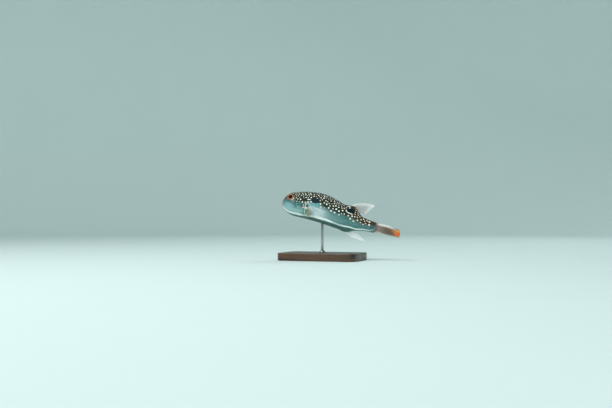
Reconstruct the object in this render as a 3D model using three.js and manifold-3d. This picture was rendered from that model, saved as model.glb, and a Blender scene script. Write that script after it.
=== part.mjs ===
// A grass puffer (Takifugu alboplumbeus), a still, life-size museum model of a swimming fish,
// held by one rod on a flat base. Millimetres, +Z up. The fish heads towards -X and its left
// side faces -Y. The origin is on the table, under the middle of the base and the rod.
//
// The fish is first described straight: x runs from the snout to the root of the tail fin,
// y to its right side, z up from its long axis. swim() then bends, banks, pitches and lifts it.

import * as THREE from "three";
import { mergeVertices } from "three/addons/utils/BufferGeometryUtils.js";
import Module from "manifold-3d";

const wasm = await Module();
wasm.setup();

const rad = THREE.MathUtils.degToRad;
const lerp = THREE.MathUtils.lerp;

// ---- Driving dimensions ----

const LENGTH = 121; // snout to the root of the tail fin; the tail fin adds about 28
const GAP = 0.3; // air between neighbouring solids

// Outline of the body: place along it, height of the back and of the belly, half width and height
// of the widest level, as shares of LENGTH, and how far down the lower side the fold of skin runs,
// 1 at the belly.
const STATIONS = [
  { at: 0.0, back: 0.034, belly: -0.034, half: 0.04, widest: 0.0, fold: 0.8 },
  { at: 0.03, back: 0.069, belly: -0.064, half: 0.063, widest: 0.002, fold: 0.8 },
  { at: 0.07, back: 0.109, belly: -0.085, half: 0.08, widest: 0.006, fold: 0.83 },
  { at: 0.12, back: 0.131, belly: -0.101, half: 0.092, widest: 0.01, fold: 0.855 },
  { at: 0.19, back: 0.151, belly: -0.104, half: 0.106, widest: 0.015, fold: 0.85 },
  { at: 0.28, back: 0.171, belly: -0.103, half: 0.12, widest: 0.02, fold: 0.825 },
  { at: 0.38, back: 0.183, belly: -0.102, half: 0.126, widest: 0.024, fold: 0.75 },
  { at: 0.48, back: 0.175, belly: -0.105, half: 0.119, widest: 0.022, fold: 0.735 },
  { at: 0.58, back: 0.151, belly: -0.11, half: 0.104, widest: 0.016, fold: 0.72 },
  { at: 0.67, back: 0.121, belly: -0.114, half: 0.085, widest: 0.01, fold: 0.72 },
  { at: 0.74, back: 0.097, belly: -0.108, half: 0.068, widest: 0.006, fold: 0.75 },
  { at: 0.81, back: 0.074, belly: -0.084, half: 0.051, widest: 0.002, fold: 0.84 },
  { at: 0.89, back: 0.057, belly: -0.066, half: 0.036, widest: 0.0, fold: 0.9 },
  { at: 0.96, back: 0.049, belly: -0.059, half: 0.025, widest: 0.0, fold: 0.91 },
  { at: 1.0, back: 0.047, belly: -0.057, half: 0.02, widest: 0.0, fold: 0.91 },
];

const SNOUT_ROUND = 0.035; // share of LENGTH over which the snout rounds off
const TAIL_ROUND = 0.022; // the same at the root of the tail fin
const FOLD_HEIGHT = 0.7; // how far the fold of skin stands out

// Fleshy lobes that carry the dorsal and the anal fin: they rise from `from` to `peak` along the
// body and sink again to `to`.
const DORSAL_LOBE = { from: 0.615, peak: 0.745, to: 0.84, height: 5.2, spread: 3.5 };
const ANAL_LOBE = { from: 0.62, peak: 0.71, to: 0.8, height: 1.2, spread: 3.2 };

const GILL_AT = 0.295; // the head ends here, at the gill opening
const STALK_AT = 0.815; // the trunk ends here, behind the dorsal and anal fins

const EYE = { at: 0.106, up: 0.0645, radius: 3.8, depth: 2.8, sunk: 1.3, tilt: 11 };
const BROW = { height: 0.7, spread: 5.5 }; // swelling of the head round each eye

const LIPS = { reach: 3.7, rise: 1.4, droop: 0.6, back: 1.9, radius: 1.15, front: 0.35, end: 0.94 };

// Pose: how the fish swims
const BEND = 18; // degrees the body curves to the fish's right between snout and tail root
const BEND_MIDDLE = 0.5; // share of LENGTH where the bent body lies along X
const BANK = 7; // degrees the back leans to the right
const PITCH = 14.5; // degrees the snout is raised
const BALANCE = 0.44; // share of LENGTH that stands over the rod
const SWIM_HEIGHT = 56; // height of the long axis there, above the table

// Stand
const BASE = { length: 96, width: 56, height: 9, corner: 8, edge: 1 };
const ROD = { radius: 1.5, into_body: 5, into_base: 6 };
const COLLAR = { radius: 4, height: 2.4 };

// ---- Colours ----

const COLOURS = {
  flesh: new THREE.MeshStandardMaterial({ color: 0x8fa39c, roughness: 0.45, metalness: 0.1 }),
  lips: new THREE.MeshStandardMaterial({ color: 0xc9a79a, roughness: 0.5, metalness: 0 }),
  eye: new THREE.MeshStandardMaterial({ color: 0xd9661a, roughness: 0.12, metalness: 0.1 }),
  fin: new THREE.MeshStandardMaterial({ color: 0xb9c4b6, roughness: 0.4, metalness: 0 }),
  tailFin: new THREE.MeshStandardMaterial({ color: 0xc9772a, roughness: 0.4, metalness: 0 }),
  base: new THREE.MeshStandardMaterial({ color: 0x3b2a20, roughness: 0.45, metalness: 0 }),
  rod: new THREE.MeshStandardMaterial({ color: 0xb8b8b4, roughness: 0.3, metalness: 1 }),
};

// ---- Geometry helpers ----

// A closed surface as a manifold solid, turned the right way out.
function solid(geometry) {
  const bare = geometry.index ? geometry.toNonIndexed() : geometry.clone();
  bare.deleteAttribute("normal");
  bare.deleteAttribute("uv");
  const merged = mergeVertices(bare, 1e-4);
  const triVerts = new Uint32Array(merged.index.array);
  const vertProperties = merged.getAttribute("position").array;
  const made = new wasm.Manifold(new wasm.Mesh({ numProp: 3, vertProperties, triVerts }));
  if (made.volume() > 0) {
    return made;
  }
  return new wasm.Manifold(new wasm.Mesh({ numProp: 3, vertProperties, triVerts: triVerts.reverse() }));
}

// The biggest of the separate bodies that a cut leaves.
const biggest = (shape) => shape.decompose().reduce((a, b) => (a.volume() > b.volume() ? a : b));

// A named mesh made from a manifold solid.
function piece(name, shape, material) {
  const got = shape.getMesh();
  const points = new Float32Array(got.numVert * 3);
  for (let i = 0; i < got.numVert; i += 1) {
    points.set(got.vertProperties.subarray(i * got.numProp, i * got.numProp + 3), i * 3);
  }
  const geometry = new THREE.BufferGeometry();
  geometry.setAttribute("position", new THREE.BufferAttribute(points, 3));
  geometry.setIndex(new THREE.BufferAttribute(new Uint32Array(got.triVerts), 1));
  geometry.computeVertexNormals();
  const made = new THREE.Mesh(geometry, material);
  made.name = name;
  return made;
}

// A closed surface through equal rings of points, with one point added at each end.
function loft(rings, first, last) {
  const around = rings[0].length;
  const points = [first, ...rings.flat(), last];
  const faces = [];
  const id = (ring, k) => 1 + ring * around + (k % around);
  const end = points.length - 1;
  for (let k = 0; k < around; k += 1) {
    faces.push(0, id(0, k + 1), id(0, k));
    faces.push(end, id(rings.length - 1, k), id(rings.length - 1, k + 1));
    for (let r = 0; r < rings.length - 1; r += 1) {
      faces.push(id(r, k), id(r, k + 1), id(r + 1, k + 1));
      faces.push(id(r, k), id(r + 1, k + 1), id(r + 1, k));
    }
  }
  const geometry = new THREE.BufferGeometry().setFromPoints(points);
  geometry.setIndex(faces);
  return geometry;
}

const signedPower = (value, power) => Math.sign(value) * Math.abs(value) ** power;

// One column of the stations, smoothly between rows.
function column(key, at) {
  const last = STATIONS.length - 1;
  const found = STATIONS.findIndex((row, i) => i < last && at <= STATIONS[i + 1].at);
  const i = found < 0 ? last - 1 : found;
  const slope = (k) => {
    const a = STATIONS[Math.max(k - 1, 0)];
    const b = STATIONS[Math.min(k + 1, last)];
    return (b[key] - a[key]) / (b.at - a.at);
  };
  const [p, q] = [STATIONS[i], STATIONS[i + 1]];
  const span = q.at - p.at;
  const t = THREE.MathUtils.clamp((at - p.at) / span, 0, 1);
  const [t2, t3] = [t * t, t * t * t];
  return (
    (2 * t3 - 3 * t2 + 1) * p[key] +
    (t3 - 2 * t2 + t) * span * slope(i) +
    (3 * t2 - 2 * t3) * q[key] +
    (t3 - t2) * span * slope(i + 1)
  );
}

// The same in millimetres.
const station = (key, at) => column(key, at) * LENGTH;

// 1 along the body, falling to 0 as the snout and the tail root close.
function rounding(at) {
  const front = Math.min(at / SNOUT_ROUND, 1);
  const rear = Math.min((1 - at) / TAIL_ROUND, 1);
  const arc = (t) => Math.sqrt(Math.max(0, 1 - (1 - t) ** 2));
  return arc(front) * arc(rear);
}

// How square a section is: 2 is an ellipse. The head is flatter between the eyes.
const squareness = (at) => 2.15 + 0.45 * Math.exp(-(((at - 0.16) / 0.12) ** 2));

// How far a fin's fleshy lobe stands out from the back or the belly.
function lobeHeight(lobe, at, y) {
  const grows = THREE.MathUtils.smoothstep(at, lobe.from, lobe.peak);
  const fades = 1 - THREE.MathUtils.smoothstep(at, lobe.peak, lobe.to);
  return lobe.height * grows * fades * Math.exp(-((y / lobe.spread) ** 2));
}

// A point of the straight body's surface. turn is 0 on the back and pi on the belly; swell
// makes the body that much fatter all over, and fold raises the fold of skin.
function bodyPoint(at, turn, swell = 0, fold = 0) {
  const round = rounding(at);
  const widest = station("widest", at);
  const across = Math.sin(turn);
  const rise = Math.cos(turn);
  const power = 2 / squareness(at);
  const reach = rise > 0 ? station("back", at) - widest : widest - station("belly", at);
  const y = (station("half", at) * round + swell + fold) * signedPower(across, power);
  const z = widest + (reach * round + swell + 0.5 * fold) * signedPower(rise, power);
  const x = at * LENGTH + swell * (2 * at - 1);
  const lobe = rise > 0 ? lobeHeight(DORSAL_LOBE, at, y) : -lobeHeight(ANAL_LOBE, at, y);
  const eyeFar = Math.hypot(x - EYE.at * LENGTH, z - EYE.up * LENGTH) / BROW.spread;
  const brow = BROW.height * Math.exp(-(eyeFar ** 2)) * Math.abs(across);
  return new THREE.Vector3(x, y + Math.sign(across) * brow, z + 0.5 * brow + lobe);
}

// The straight fish's point, bent, banked, pitched and lifted to where it swims.
function swim(p) {
  const rate = rad(BEND) / LENGTH;
  const middle = BEND_MIDDLE * LENGTH;
  const turn = (p.x - middle) * rate;
  const x = middle + Math.sin(turn) / rate - p.y * Math.sin(turn) - BALANCE * LENGTH;
  const y = (1 - Math.cos(turn)) / rate + p.y * Math.cos(turn);
  return new THREE.Vector3(x, y, p.z)
    .applyAxisAngle(new THREE.Vector3(1, 0, 0), -rad(BANK))
    .applyAxisAngle(new THREE.Vector3(0, 1, 0), rad(PITCH))
    .add(new THREE.Vector3(0, 0, SWIM_HEIGHT));
}

// A geometry of the straight fish, moved to where it swims.
function swimming(geometry) {
  const place = geometry.getAttribute("position");
  const point = new THREE.Vector3();
  for (let i = 0; i < place.count; i += 1) {
    const moved = swim(point.fromBufferAttribute(place, i));
    place.setXYZ(i, moved.x, moved.y, moved.z);
  }
  return geometry;
}

// ---- Body ----

const RINGS = 40; // along the body, closer together at both ends
const SIDE_STEPS = 16; // round each half of a ring
const FOLD_STEP = 11; // the one of them that lies on the fold

// Angle of a ring step, set so that one step follows the fold of skin.
function ringTurn(at, step) {
  const foldTurn = Math.acos(-(column("fold", at) ** (squareness(at) / 2)));
  const side = step <= SIDE_STEPS ? step : 2 * SIDE_STEPS - step;
  const turn =
    side <= FOLD_STEP
      ? (side / FOLD_STEP) * foldTurn
      : lerp(foldTurn, Math.PI, (side - FOLD_STEP) / (SIDE_STEPS - FOLD_STEP));
  return step <= SIDE_STEPS ? turn : 2 * Math.PI - turn;
}

// The whole straight body, from the snout to the root of the tail fin.
function bodyShape(swell) {
  const places = [];
  for (let i = 1; i < RINGS; i += 1) {
    const even = i / RINGS;
    const crowded = (1 - Math.cos(Math.PI * even)) / 2;
    places.push(lerp(even, crowded, 0.8));
  }
  const foldGrows = (at) => THREE.MathUtils.smoothstep(at, 0.05, 0.2);
  const rows = places.map((at) =>
    Array.from({ length: 2 * SIDE_STEPS }, (_, step) => {
      const onFold = step === FOLD_STEP || step === 2 * SIDE_STEPS - FOLD_STEP;
      const fold = onFold ? FOLD_HEIGHT * foldGrows(at) * rounding(at) : 0;
      return bodyPoint(at, ringTurn(at, step), swell, fold);
    }),
  );
  const nose = new THREE.Vector3(-swell, 0, 0);
  const tail = new THREE.Vector3(LENGTH + swell, 0, 0);
  return solid(swimming(loft(rows, nose, tail)));
}

// Everything of the body between two places along it.
function lengthBetween(from, to) {
  const side = LENGTH;
  const box = new THREE.BoxGeometry((to - from) * LENGTH, side, side, 12, 2, 2);
  box.translate(((from + to) / 2) * LENGTH, 0, 0);
  return solid(swimming(box));
}

// ---- Eyes and lips ----

// An eyeball, flatter than a ball and looking outwards and a little up.
function eyeShape(side, swell) {
  const turnOfEye = Math.acos(
    (((EYE.up * LENGTH - station("widest", EYE.at)) /
      (station("back", EYE.at) - station("widest", EYE.at))) **
      (squareness(EYE.at) / 2)),
  );
  const skin = bodyPoint(EYE.at, turnOfEye);
  const ball = new THREE.SphereGeometry(1, 16, 10);
  ball.scale(EYE.radius + swell, EYE.depth + swell, EYE.radius + swell);
  ball.rotateX(rad(EYE.tilt));
  ball.translate(skin.x, skin.y - EYE.sunk, skin.z);
  ball.scale(1, side, 1);
  return solid(swimming(ball));
}

// One lip: a crescent that thins out to both corners of the mouth. rise is +1 or -1.
function lipShape(rise, swell) {
  const rings = [];
  const [steps, around] = [12, 8];
  const middle = (q) =>
    new THREE.Vector3(
      LIPS.front + LIPS.back * q * q,
      LIPS.reach * q,
      rise * LIPS.rise * (1 - LIPS.droop * q * q),
    );
  for (let i = 0; i <= steps; i += 1) {
    const q = lerp(-LIPS.end, LIPS.end, i / steps);
    const thick = LIPS.radius * Math.sqrt(1 - q ** 4) + swell;
    rings.push(
      Array.from({ length: around }, (_, k) => {
        const turn = (2 * Math.PI * k) / around;
        const off = new THREE.Vector3(thick * Math.cos(turn), 0, thick * Math.sin(turn));
        return middle(q).add(off);
      }),
    );
  }
  return solid(swimming(loft(rings, middle(-1 - swell / 4), middle(1 + swell / 4))));
}

// ---- Fins ----

const RIB = { height: 0.16, fade: 0.6 }; // ribs along the rays, and how much they flatten outwards

// A fin as a thin wavy plate over a grid of rays. at(f, g) gives its middle surface, f across
// the rays and g from root to edge; thick(f, g) its thickness there.
function finShape(at, thick, across, along) {
  const sheets = [[], []];
  const nudge = 1e-3;
  for (let i = 0; i <= across; i += 1) {
    for (let j = 0; j <= along; j += 1) {
      const [f, g] = [i / across, j / along];
      const df = at(Math.min(f + nudge, 1), g).sub(at(Math.max(f - nudge, 0), g));
      const dg = at(f, Math.min(g + nudge, 1)).sub(at(f, Math.max(g - nudge, 0)));
      const off = df.cross(dg).normalize().multiplyScalar(thick(f, g) / 2);
      sheets[0].push(at(f, g).add(off));
      sheets[1].push(at(f, g).sub(off));
    }
  }
  const row = along + 1;
  const count = (across + 1) * row;
  const faces = [];
  const quad = (a, b, c, d) => faces.push(a, b, c, a, c, d);
  for (let i = 0; i < across; i += 1) {
    for (let j = 0; j < along; j += 1) {
      const a = i * row + j;
      quad(a, a + row, a + row + 1, a + 1);
      quad(count + a, count + a + 1, count + a + row + 1, count + a + row);
    }
  }
  for (let i = 0; i < across; i += 1) {
    const [a, b] = [i * row, i * row + along];
    quad(a + row, a, count + a, count + a + row);
    quad(b, b + row, count + b + row, count + b);
  }
  for (let j = 0; j < along; j += 1) {
    const [a, b] = [j, across * row + j];
    quad(a, a + 1, count + a + 1, count + a);
    quad(b + 1, b, count + b, count + b + 1);
  }
  const geometry = new THREE.BufferGeometry().setFromPoints([...sheets[0], ...sheets[1]]);
  geometry.setIndex(faces);
  return solid(swimming(geometry));
}

// Thickness of a fin with ribs along its rays: thick at the root, thin at the edge.
function ribbed(rays, root, edge) {
  return (f, g) => {
    const rib = RIB.height * Math.cos(2 * Math.PI * f * rays);
    return lerp(root, edge, Math.sqrt(g)) + rib * (1 - RIB.fade * g);
  };
}

// Dorsal and anal fin, as shares of LENGTH: where the root starts and ends along the body, how far
// back and out from there the tip and the rear corner lie, how hollow the rear edge is, and how
// much the first and the last ray bow outwards. lean is how far the fin leans over, in millimetres.
const DORSAL = {
  rays: 12, from: 0.682, to: 0.795, tip: [0.247, 0.078], corner: [0.066, 0.012], hollow: 0.018,
  bow: [0.031, 0.002], lobe: DORSAL_LOBE, lean: 0.9,
};
const ANAL = {
  rays: 10, from: 0.67, to: 0.765, tip: [0.258, 0.049], corner: [0.09, 0.026], hollow: 0.012,
  bow: [0.026, 0.002], lobe: ANAL_LOBE, lean: -0.9,
};
const ROOT_DEPTH = 2.2; // how far both start inside the body, before they are cut clear of it
const RIPPLE = { height: 0.5, across: 3.2, along: 2 }; // a soft wave over both

// A dorsal or anal fin, rising from the back (side 1) or the belly (side -1).
function medianFin(fin, side) {
  const root = (f) => {
    const at = lerp(fin.from, fin.to, f);
    const level = side > 0 ? station("back", at) : station("belly", at);
    const rise = lobeHeight(fin.lobe, at, 0) - ROOT_DEPTH;
    return new THREE.Vector3(at * LENGTH, 0, level + side * rise);
  };
  const outward = ([back, out]) => new THREE.Vector3(back, 0, side * out).multiplyScalar(LENGTH);
  const tip = root(0).add(outward(fin.tip));
  const corner = root(1).add(outward(fin.corner));
  const inside = tip.clone().lerp(corner, 0.5).sub(outward([fin.hollow, fin.hollow]));
  const rim = new THREE.QuadraticBezierCurve3(tip, inside, corner);
  const at = (f, g) => {
    const [start, end] = [root(f), rim.getPoint(f)];
    const along = end.clone().sub(start).normalize();
    const bow = lerp(fin.bow[0], fin.bow[1], Math.sqrt(f)) * LENGTH * 4 * g * (1 - g);
    const wave = RIPPLE.height * Math.sin(RIPPLE.across * f + RIPPLE.along * g);
    const sway = fin.lean * Math.sin(0.7 * Math.PI * g) + wave;
    const off = new THREE.Vector3(-side * along.z * bow, sway * g, side * along.x * bow);
    return start.lerp(end, g).add(off);
  };
  return finShape(at, ribbed(fin.rays, 1.5, 0.62), 2 * fin.rays, 6);
}

// The tail fin: half its height at the root, the middle and the edge, as shares of LENGTH, how much
// shorter its outer rays are and how much its top is shorter still, and how far it waves.
const TAIL = {
  rays: 10, from: 0.985, length: 0.245, root: 0.044, middle: 0.051, edge: 0.04,
  round: 0.05, slant: 0.03, wave: 0.9, drop: 0.15,
};

// The tail fin, half folded, its end nearly straight.
function tailFin() {
  const at = (f, g) => {
    const across = 2 * f - 1;
    const spread =
      g < 0.5
        ? lerp(TAIL.root, TAIL.middle, THREE.MathUtils.smoothstep(g * 2, 0, 1))
        : lerp(TAIL.middle, TAIL.edge, THREE.MathUtils.smoothstep(g * 2 - 1, 0, 1));
    const reach = TAIL.length * (1 - TAIL.round * Math.abs(across) ** 3 - TAIL.slant * across);
    const x = (TAIL.from + reach * g) * LENGTH;
    const y = TAIL.wave * Math.sin(2.4 * across) * g;
    return new THREE.Vector3(x, y, spread * across * LENGTH - TAIL.drop);
  };
  return finShape(at, ribbed(TAIL.rays, 1.7, 0.7), 2 * TAIL.rays, 7);
}

// The pectoral fin: the ends of its root along and up the body, its length, all as shares of LENGTH,
// the angles of its first and last ray, and how far it is held out and cupped, in degrees.
const PECTORAL = {
  rays: 12, top: [0.308, 0.004], bottom: [0.324, -0.054], length: 0.15, depth: 1.6,
  rim: [0.2, 0.86], shorten: 0.3, spread: [0, -34], out: 36, cup: 9, flare: 0.35,
};

// A pectoral fin, spread and held away from the flank. side is -1 on the left, +1 on the right.
function pectoralFin(side) {
  const root = (f) => {
    const at = lerp(PECTORAL.top[0], PECTORAL.bottom[0], f);
    const z = lerp(PECTORAL.top[1], PECTORAL.bottom[1], f) * LENGTH;
    const widest = station("widest", at);
    const reach = z > widest ? station("back", at) - widest : widest - station("belly", at);
    const n = squareness(at);
    const y = station("half", at) * (1 - (Math.abs(z - widest) / reach) ** n) ** (1 / n);
    return new THREE.Vector3(at * LENGTH, y - PECTORAL.depth, z);
  };
  const at = (f, g) => {
    const shape = Math.sin(Math.PI * lerp(PECTORAL.rim[0], PECTORAL.rim[1], f)) ** 0.6;
    const length = PECTORAL.length * LENGTH * shape * (1 - PECTORAL.shorten * f);
    const angle = rad(lerp(PECTORAL.spread[0], PECTORAL.spread[1], f));
    const out = rad(PECTORAL.out + PECTORAL.cup * g);
    const along = length * g * Math.cos(angle);
    const rise = length * g * Math.sin(angle);
    const flare = PECTORAL.flare * Math.abs(rise);
    const off = new THREE.Vector3(along * Math.cos(out), (along + flare) * Math.sin(out), rise);
    const p = root(f).add(off);
    p.y *= side;
    return p;
  };
  return finShape(at, ribbed(PECTORAL.rays, 1.3, 0.6), 2 * PECTORAL.rays, 4);
}

// ---- Stand ----

// The base: a flat board with round corners and a narrow bevel round its top and bottom.
function baseShape() {
  const [halfLength, halfWidth] = [BASE.length / 2 - BASE.edge, BASE.width / 2 - BASE.edge];
  const corner = BASE.corner - BASE.edge;
  const outline = new THREE.Shape();
  const centres = [
    [halfLength - corner, halfWidth - corner, 0],
    [-halfLength + corner, halfWidth - corner, 90],
    [-halfLength + corner, -halfWidth + corner, 180],
    [halfLength - corner, -halfWidth + corner, 270],
  ];
  for (const [x, y, start] of centres) {
    outline.absarc(x, y, corner, rad(start), rad(start + 90), false);
  }
  outline.closePath();
  const board = new THREE.ExtrudeGeometry(outline, {
    depth: BASE.height - 2 * BASE.edge,
    bevelEnabled: true,
    bevelThickness: BASE.edge,
    bevelSize: BASE.edge,
    bevelSegments: 1,
    curveSegments: 6,
  });
  board.translate(0, 0, BASE.edge);
  return solid(board);
}

// An upright cylinder from one height to another, on the rod's line.
function upright(radius, bottom, top, sides = 24) {
  const made = new THREE.CylinderGeometry(radius, radius, top - bottom, sides);
  made.rotateX(Math.PI / 2);
  made.translate(0, 0, (top + bottom) / 2);
  return solid(made);
}

// ---- Assembly ----

const fish = new THREE.Group();
const body = bodyShape(0);
const clearance = bodyShape(GAP);
const belly = swim(new THREE.Vector3(BALANCE * LENGTH, 0, station("belly", BALANCE)));
const rodTop = belly.z + ROD.into_body;
const rodHole = upright(ROD.radius + GAP, 0, rodTop + GAP);

const share = GAP / 2 / LENGTH;
let head = body.intersect(lengthBetween(-0.1, GILL_AT - share));
for (const side of [-1, 1]) {
  head = head.subtract(eyeShape(side, GAP));
  head = head.subtract(lipShape(side, GAP));
}
const trunk = body.intersect(lengthBetween(GILL_AT + share, STALK_AT - share)).subtract(rodHole);
const stalk = body.intersect(lengthBetween(STALK_AT + share, 1.1));

fish.add(
  piece("head", biggest(head), COLOURS.flesh),
  piece("trunk", trunk, COLOURS.flesh),
  piece("tail_stalk", stalk, COLOURS.flesh),
  piece("lip_upper", lipShape(1, 0), COLOURS.lips),
  piece("lip_lower", lipShape(-1, 0), COLOURS.lips),
  piece("eye_left", eyeShape(-1, 0), COLOURS.eye),
  piece("eye_right", eyeShape(1, 0), COLOURS.eye),
  piece("dorsal_fin", medianFin(DORSAL, 1).subtract(clearance), COLOURS.fin),
  piece("anal_fin", medianFin(ANAL, -1).subtract(clearance), COLOURS.fin),
  piece("tail_fin", tailFin().subtract(clearance), COLOURS.tailFin),
  piece("pectoral_fin_left", pectoralFin(-1).subtract(clearance), COLOURS.fin),
  piece("pectoral_fin_right", pectoralFin(1).subtract(clearance), COLOURS.fin),
);

const rodFoot = BASE.height - ROD.into_base;
const board = baseShape().subtract(upright(ROD.radius + GAP, rodFoot - GAP, BASE.height + 1));
const collarTop = BASE.height + GAP + COLLAR.height;
const collar = upright(COLLAR.radius, BASE.height + GAP, collarTop).subtract(
  upright(ROD.radius + GAP, 0, collarTop + 1),
);
fish.add(
  piece("stand_base", board, COLOURS.base),
  piece("stand_collar", collar, COLOURS.rod),
  piece("stand_rod", upright(ROD.radius, rodFoot, rodTop), COLOURS.rod),
);

export default fish;
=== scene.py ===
"""A grass puffer as a still, life-size museum model: its looks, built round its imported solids.

The fish is described straight and in millimetres, as its solids are: x runs from the snout to
the root of the tail fin, y to its right side, z up from its long axis. Pose.swim() then bends,
banks, pitches and lifts it, and gives metres. The stand and the studio are described in place,
in metres.
"""

import logging
import math
from dataclasses import dataclass, field
from enum import Enum

import bmesh
import bpy
import numpy as np
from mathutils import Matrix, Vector, kdtree

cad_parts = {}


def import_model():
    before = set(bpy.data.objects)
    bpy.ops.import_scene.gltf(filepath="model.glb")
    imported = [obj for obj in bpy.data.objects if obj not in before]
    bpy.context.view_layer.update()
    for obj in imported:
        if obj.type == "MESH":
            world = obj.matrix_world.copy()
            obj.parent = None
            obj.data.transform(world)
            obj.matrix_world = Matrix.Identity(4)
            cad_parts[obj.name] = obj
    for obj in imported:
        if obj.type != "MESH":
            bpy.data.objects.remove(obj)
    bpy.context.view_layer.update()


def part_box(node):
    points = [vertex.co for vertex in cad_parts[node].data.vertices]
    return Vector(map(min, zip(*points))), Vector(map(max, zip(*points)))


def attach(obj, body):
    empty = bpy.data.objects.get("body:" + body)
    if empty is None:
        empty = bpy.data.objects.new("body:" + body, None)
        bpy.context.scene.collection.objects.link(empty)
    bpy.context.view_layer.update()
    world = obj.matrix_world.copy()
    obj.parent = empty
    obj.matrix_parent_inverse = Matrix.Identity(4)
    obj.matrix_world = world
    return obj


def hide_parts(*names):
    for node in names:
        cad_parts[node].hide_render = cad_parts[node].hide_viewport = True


LOG = logging.getLogger("puffer")
MM = 0.001
BODY = "root"
CREASE = 40.0  # degrees; the stand's edges that turn more stay sharp
FAR = 99.0  # millimetres; stands for nowhere near
PAINTED = 60.0  # millimetres; a distance is painted no greater than this

Feed = bpy.types.NodeSocket | float | tuple
Number = float | np.ndarray
Course = tuple[tuple[float, float], ...]


class Side(Enum):
    """A side of the fish, as the sign of y there."""

    LEFT = -1
    RIGHT = 1


class Edge(Enum):
    """Which way a median fin rises from the body."""

    BACK = 1
    BELLY = -1


class Slot(Enum):
    """The record's material slots."""

    SKIN = "skin"
    EYE = "eye"
    FIN = "fin"
    TAIL_FIN = "tail_fin"
    WOOD = "stand_wood"
    METAL = "stand_metal"


# ---- Small sums ----


def lerp(low: Number, high: Number, share: Number) -> Number:
    """The value that lies that share of the way from low to high."""
    return low + (high - low) * share


def smooth(value: np.ndarray, low: float, high: float) -> np.ndarray:
    """0 below low, 1 above high, and a soft step between them."""
    t = np.clip((np.asarray(value, float) - low) / (high - low), 0, 1)
    return t * t * (3 - 2 * t)


def window(value: np.ndarray, rise: tuple[float, float], fall: tuple[float, float]) -> np.ndarray:
    """1 between a soft rise and a soft fall, 0 outside them."""
    return smooth(value, *rise) * (1 - smooth(value, *fall))


def bell(distance: np.ndarray, width: float) -> np.ndarray:
    """1 at no distance, falling off to 0 over about twice the width."""
    return np.exp(-((distance / width) ** 2))


def signed_power(value: np.ndarray, power: float) -> np.ndarray:
    """A power that keeps the sign of its value."""
    return np.sign(value) * np.abs(value) ** power


def follow(course: Course, at: np.ndarray) -> np.ndarray:
    """The value of a course of (place, value) at each place, straight between its points."""
    return np.interp(at, *zip(*course))


def unit(vectors: np.ndarray) -> np.ndarray:
    """The vectors at length 1."""
    return vectors / np.maximum(np.linalg.norm(vectors, axis=-1, keepdims=True), 1e-12)


def tone(code: str) -> tuple[float, float, float, float]:
    """A screen colour as the linear colour that a shader takes.

    Args:
        code: the colour in hexadecimal, such as "#8fa39c".

    Returns:
        Red, green, blue and a full alpha.
    """
    shares = [int(code[i : i + 2], 16) / 255 for i in (1, 3, 5)]
    linear = [s / 12.92 if s <= 0.04045 else ((s + 0.055) / 1.055) ** 2.4 for s in shares]
    return (*linear, 1.0)


# ---- The form of the fish ----


@dataclass(frozen=True)
class Station:
    """One place along the body, all as shares of its length; fold is how far down the skin fold is."""

    at: float
    back: float
    belly: float
    half: float
    widest: float
    fold: float


STATIONS = (
    Station(0.0, 0.034, -0.034, 0.04, 0.0, 0.8),
    Station(0.03, 0.069, -0.064, 0.063, 0.002, 0.8),
    Station(0.07, 0.109, -0.085, 0.08, 0.006, 0.83),
    Station(0.12, 0.131, -0.101, 0.092, 0.01, 0.855),
    Station(0.19, 0.151, -0.104, 0.106, 0.015, 0.85),
    Station(0.28, 0.171, -0.103, 0.12, 0.02, 0.825),
    Station(0.38, 0.183, -0.102, 0.126, 0.024, 0.75),
    Station(0.48, 0.175, -0.105, 0.119, 0.022, 0.735),
    Station(0.58, 0.151, -0.11, 0.104, 0.016, 0.72),
    Station(0.67, 0.121, -0.114, 0.085, 0.01, 0.72),
    Station(0.74, 0.097, -0.108, 0.068, 0.006, 0.75),
    Station(0.81, 0.074, -0.084, 0.051, 0.002, 0.84),
    Station(0.89, 0.057, -0.066, 0.036, 0.0, 0.9),
    Station(0.96, 0.049, -0.059, 0.025, 0.0, 0.91),
    Station(1.0, 0.047, -0.057, 0.02, 0.0, 0.91),
)


@dataclass(frozen=True)
class Lobe:
    """A fleshy lobe that carries a median fin: it rises from start to peak and sinks to end."""

    start: float
    peak: float
    end: float
    height: float
    spread: float

    def rise(self, at: np.ndarray, y: np.ndarray) -> np.ndarray:
        """Its height in millimetres at a place along the body and a distance from the middle."""
        along = window(at, (self.start, self.peak), (self.peak, self.end))
        return self.height * along * bell(y, self.spread)


@dataclass(frozen=True)
class EyeSizes:
    """The eyeball: place as shares of the body's length, sizes in millimetres, tilt in degrees."""

    at: float = 0.106
    up: float = 0.0645
    radius: float = 3.8
    depth: float = 2.8
    sunk: float = 1.3
    tilt: float = 11.0
    brow_height: float = 0.7
    brow_spread: float = 5.5


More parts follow.
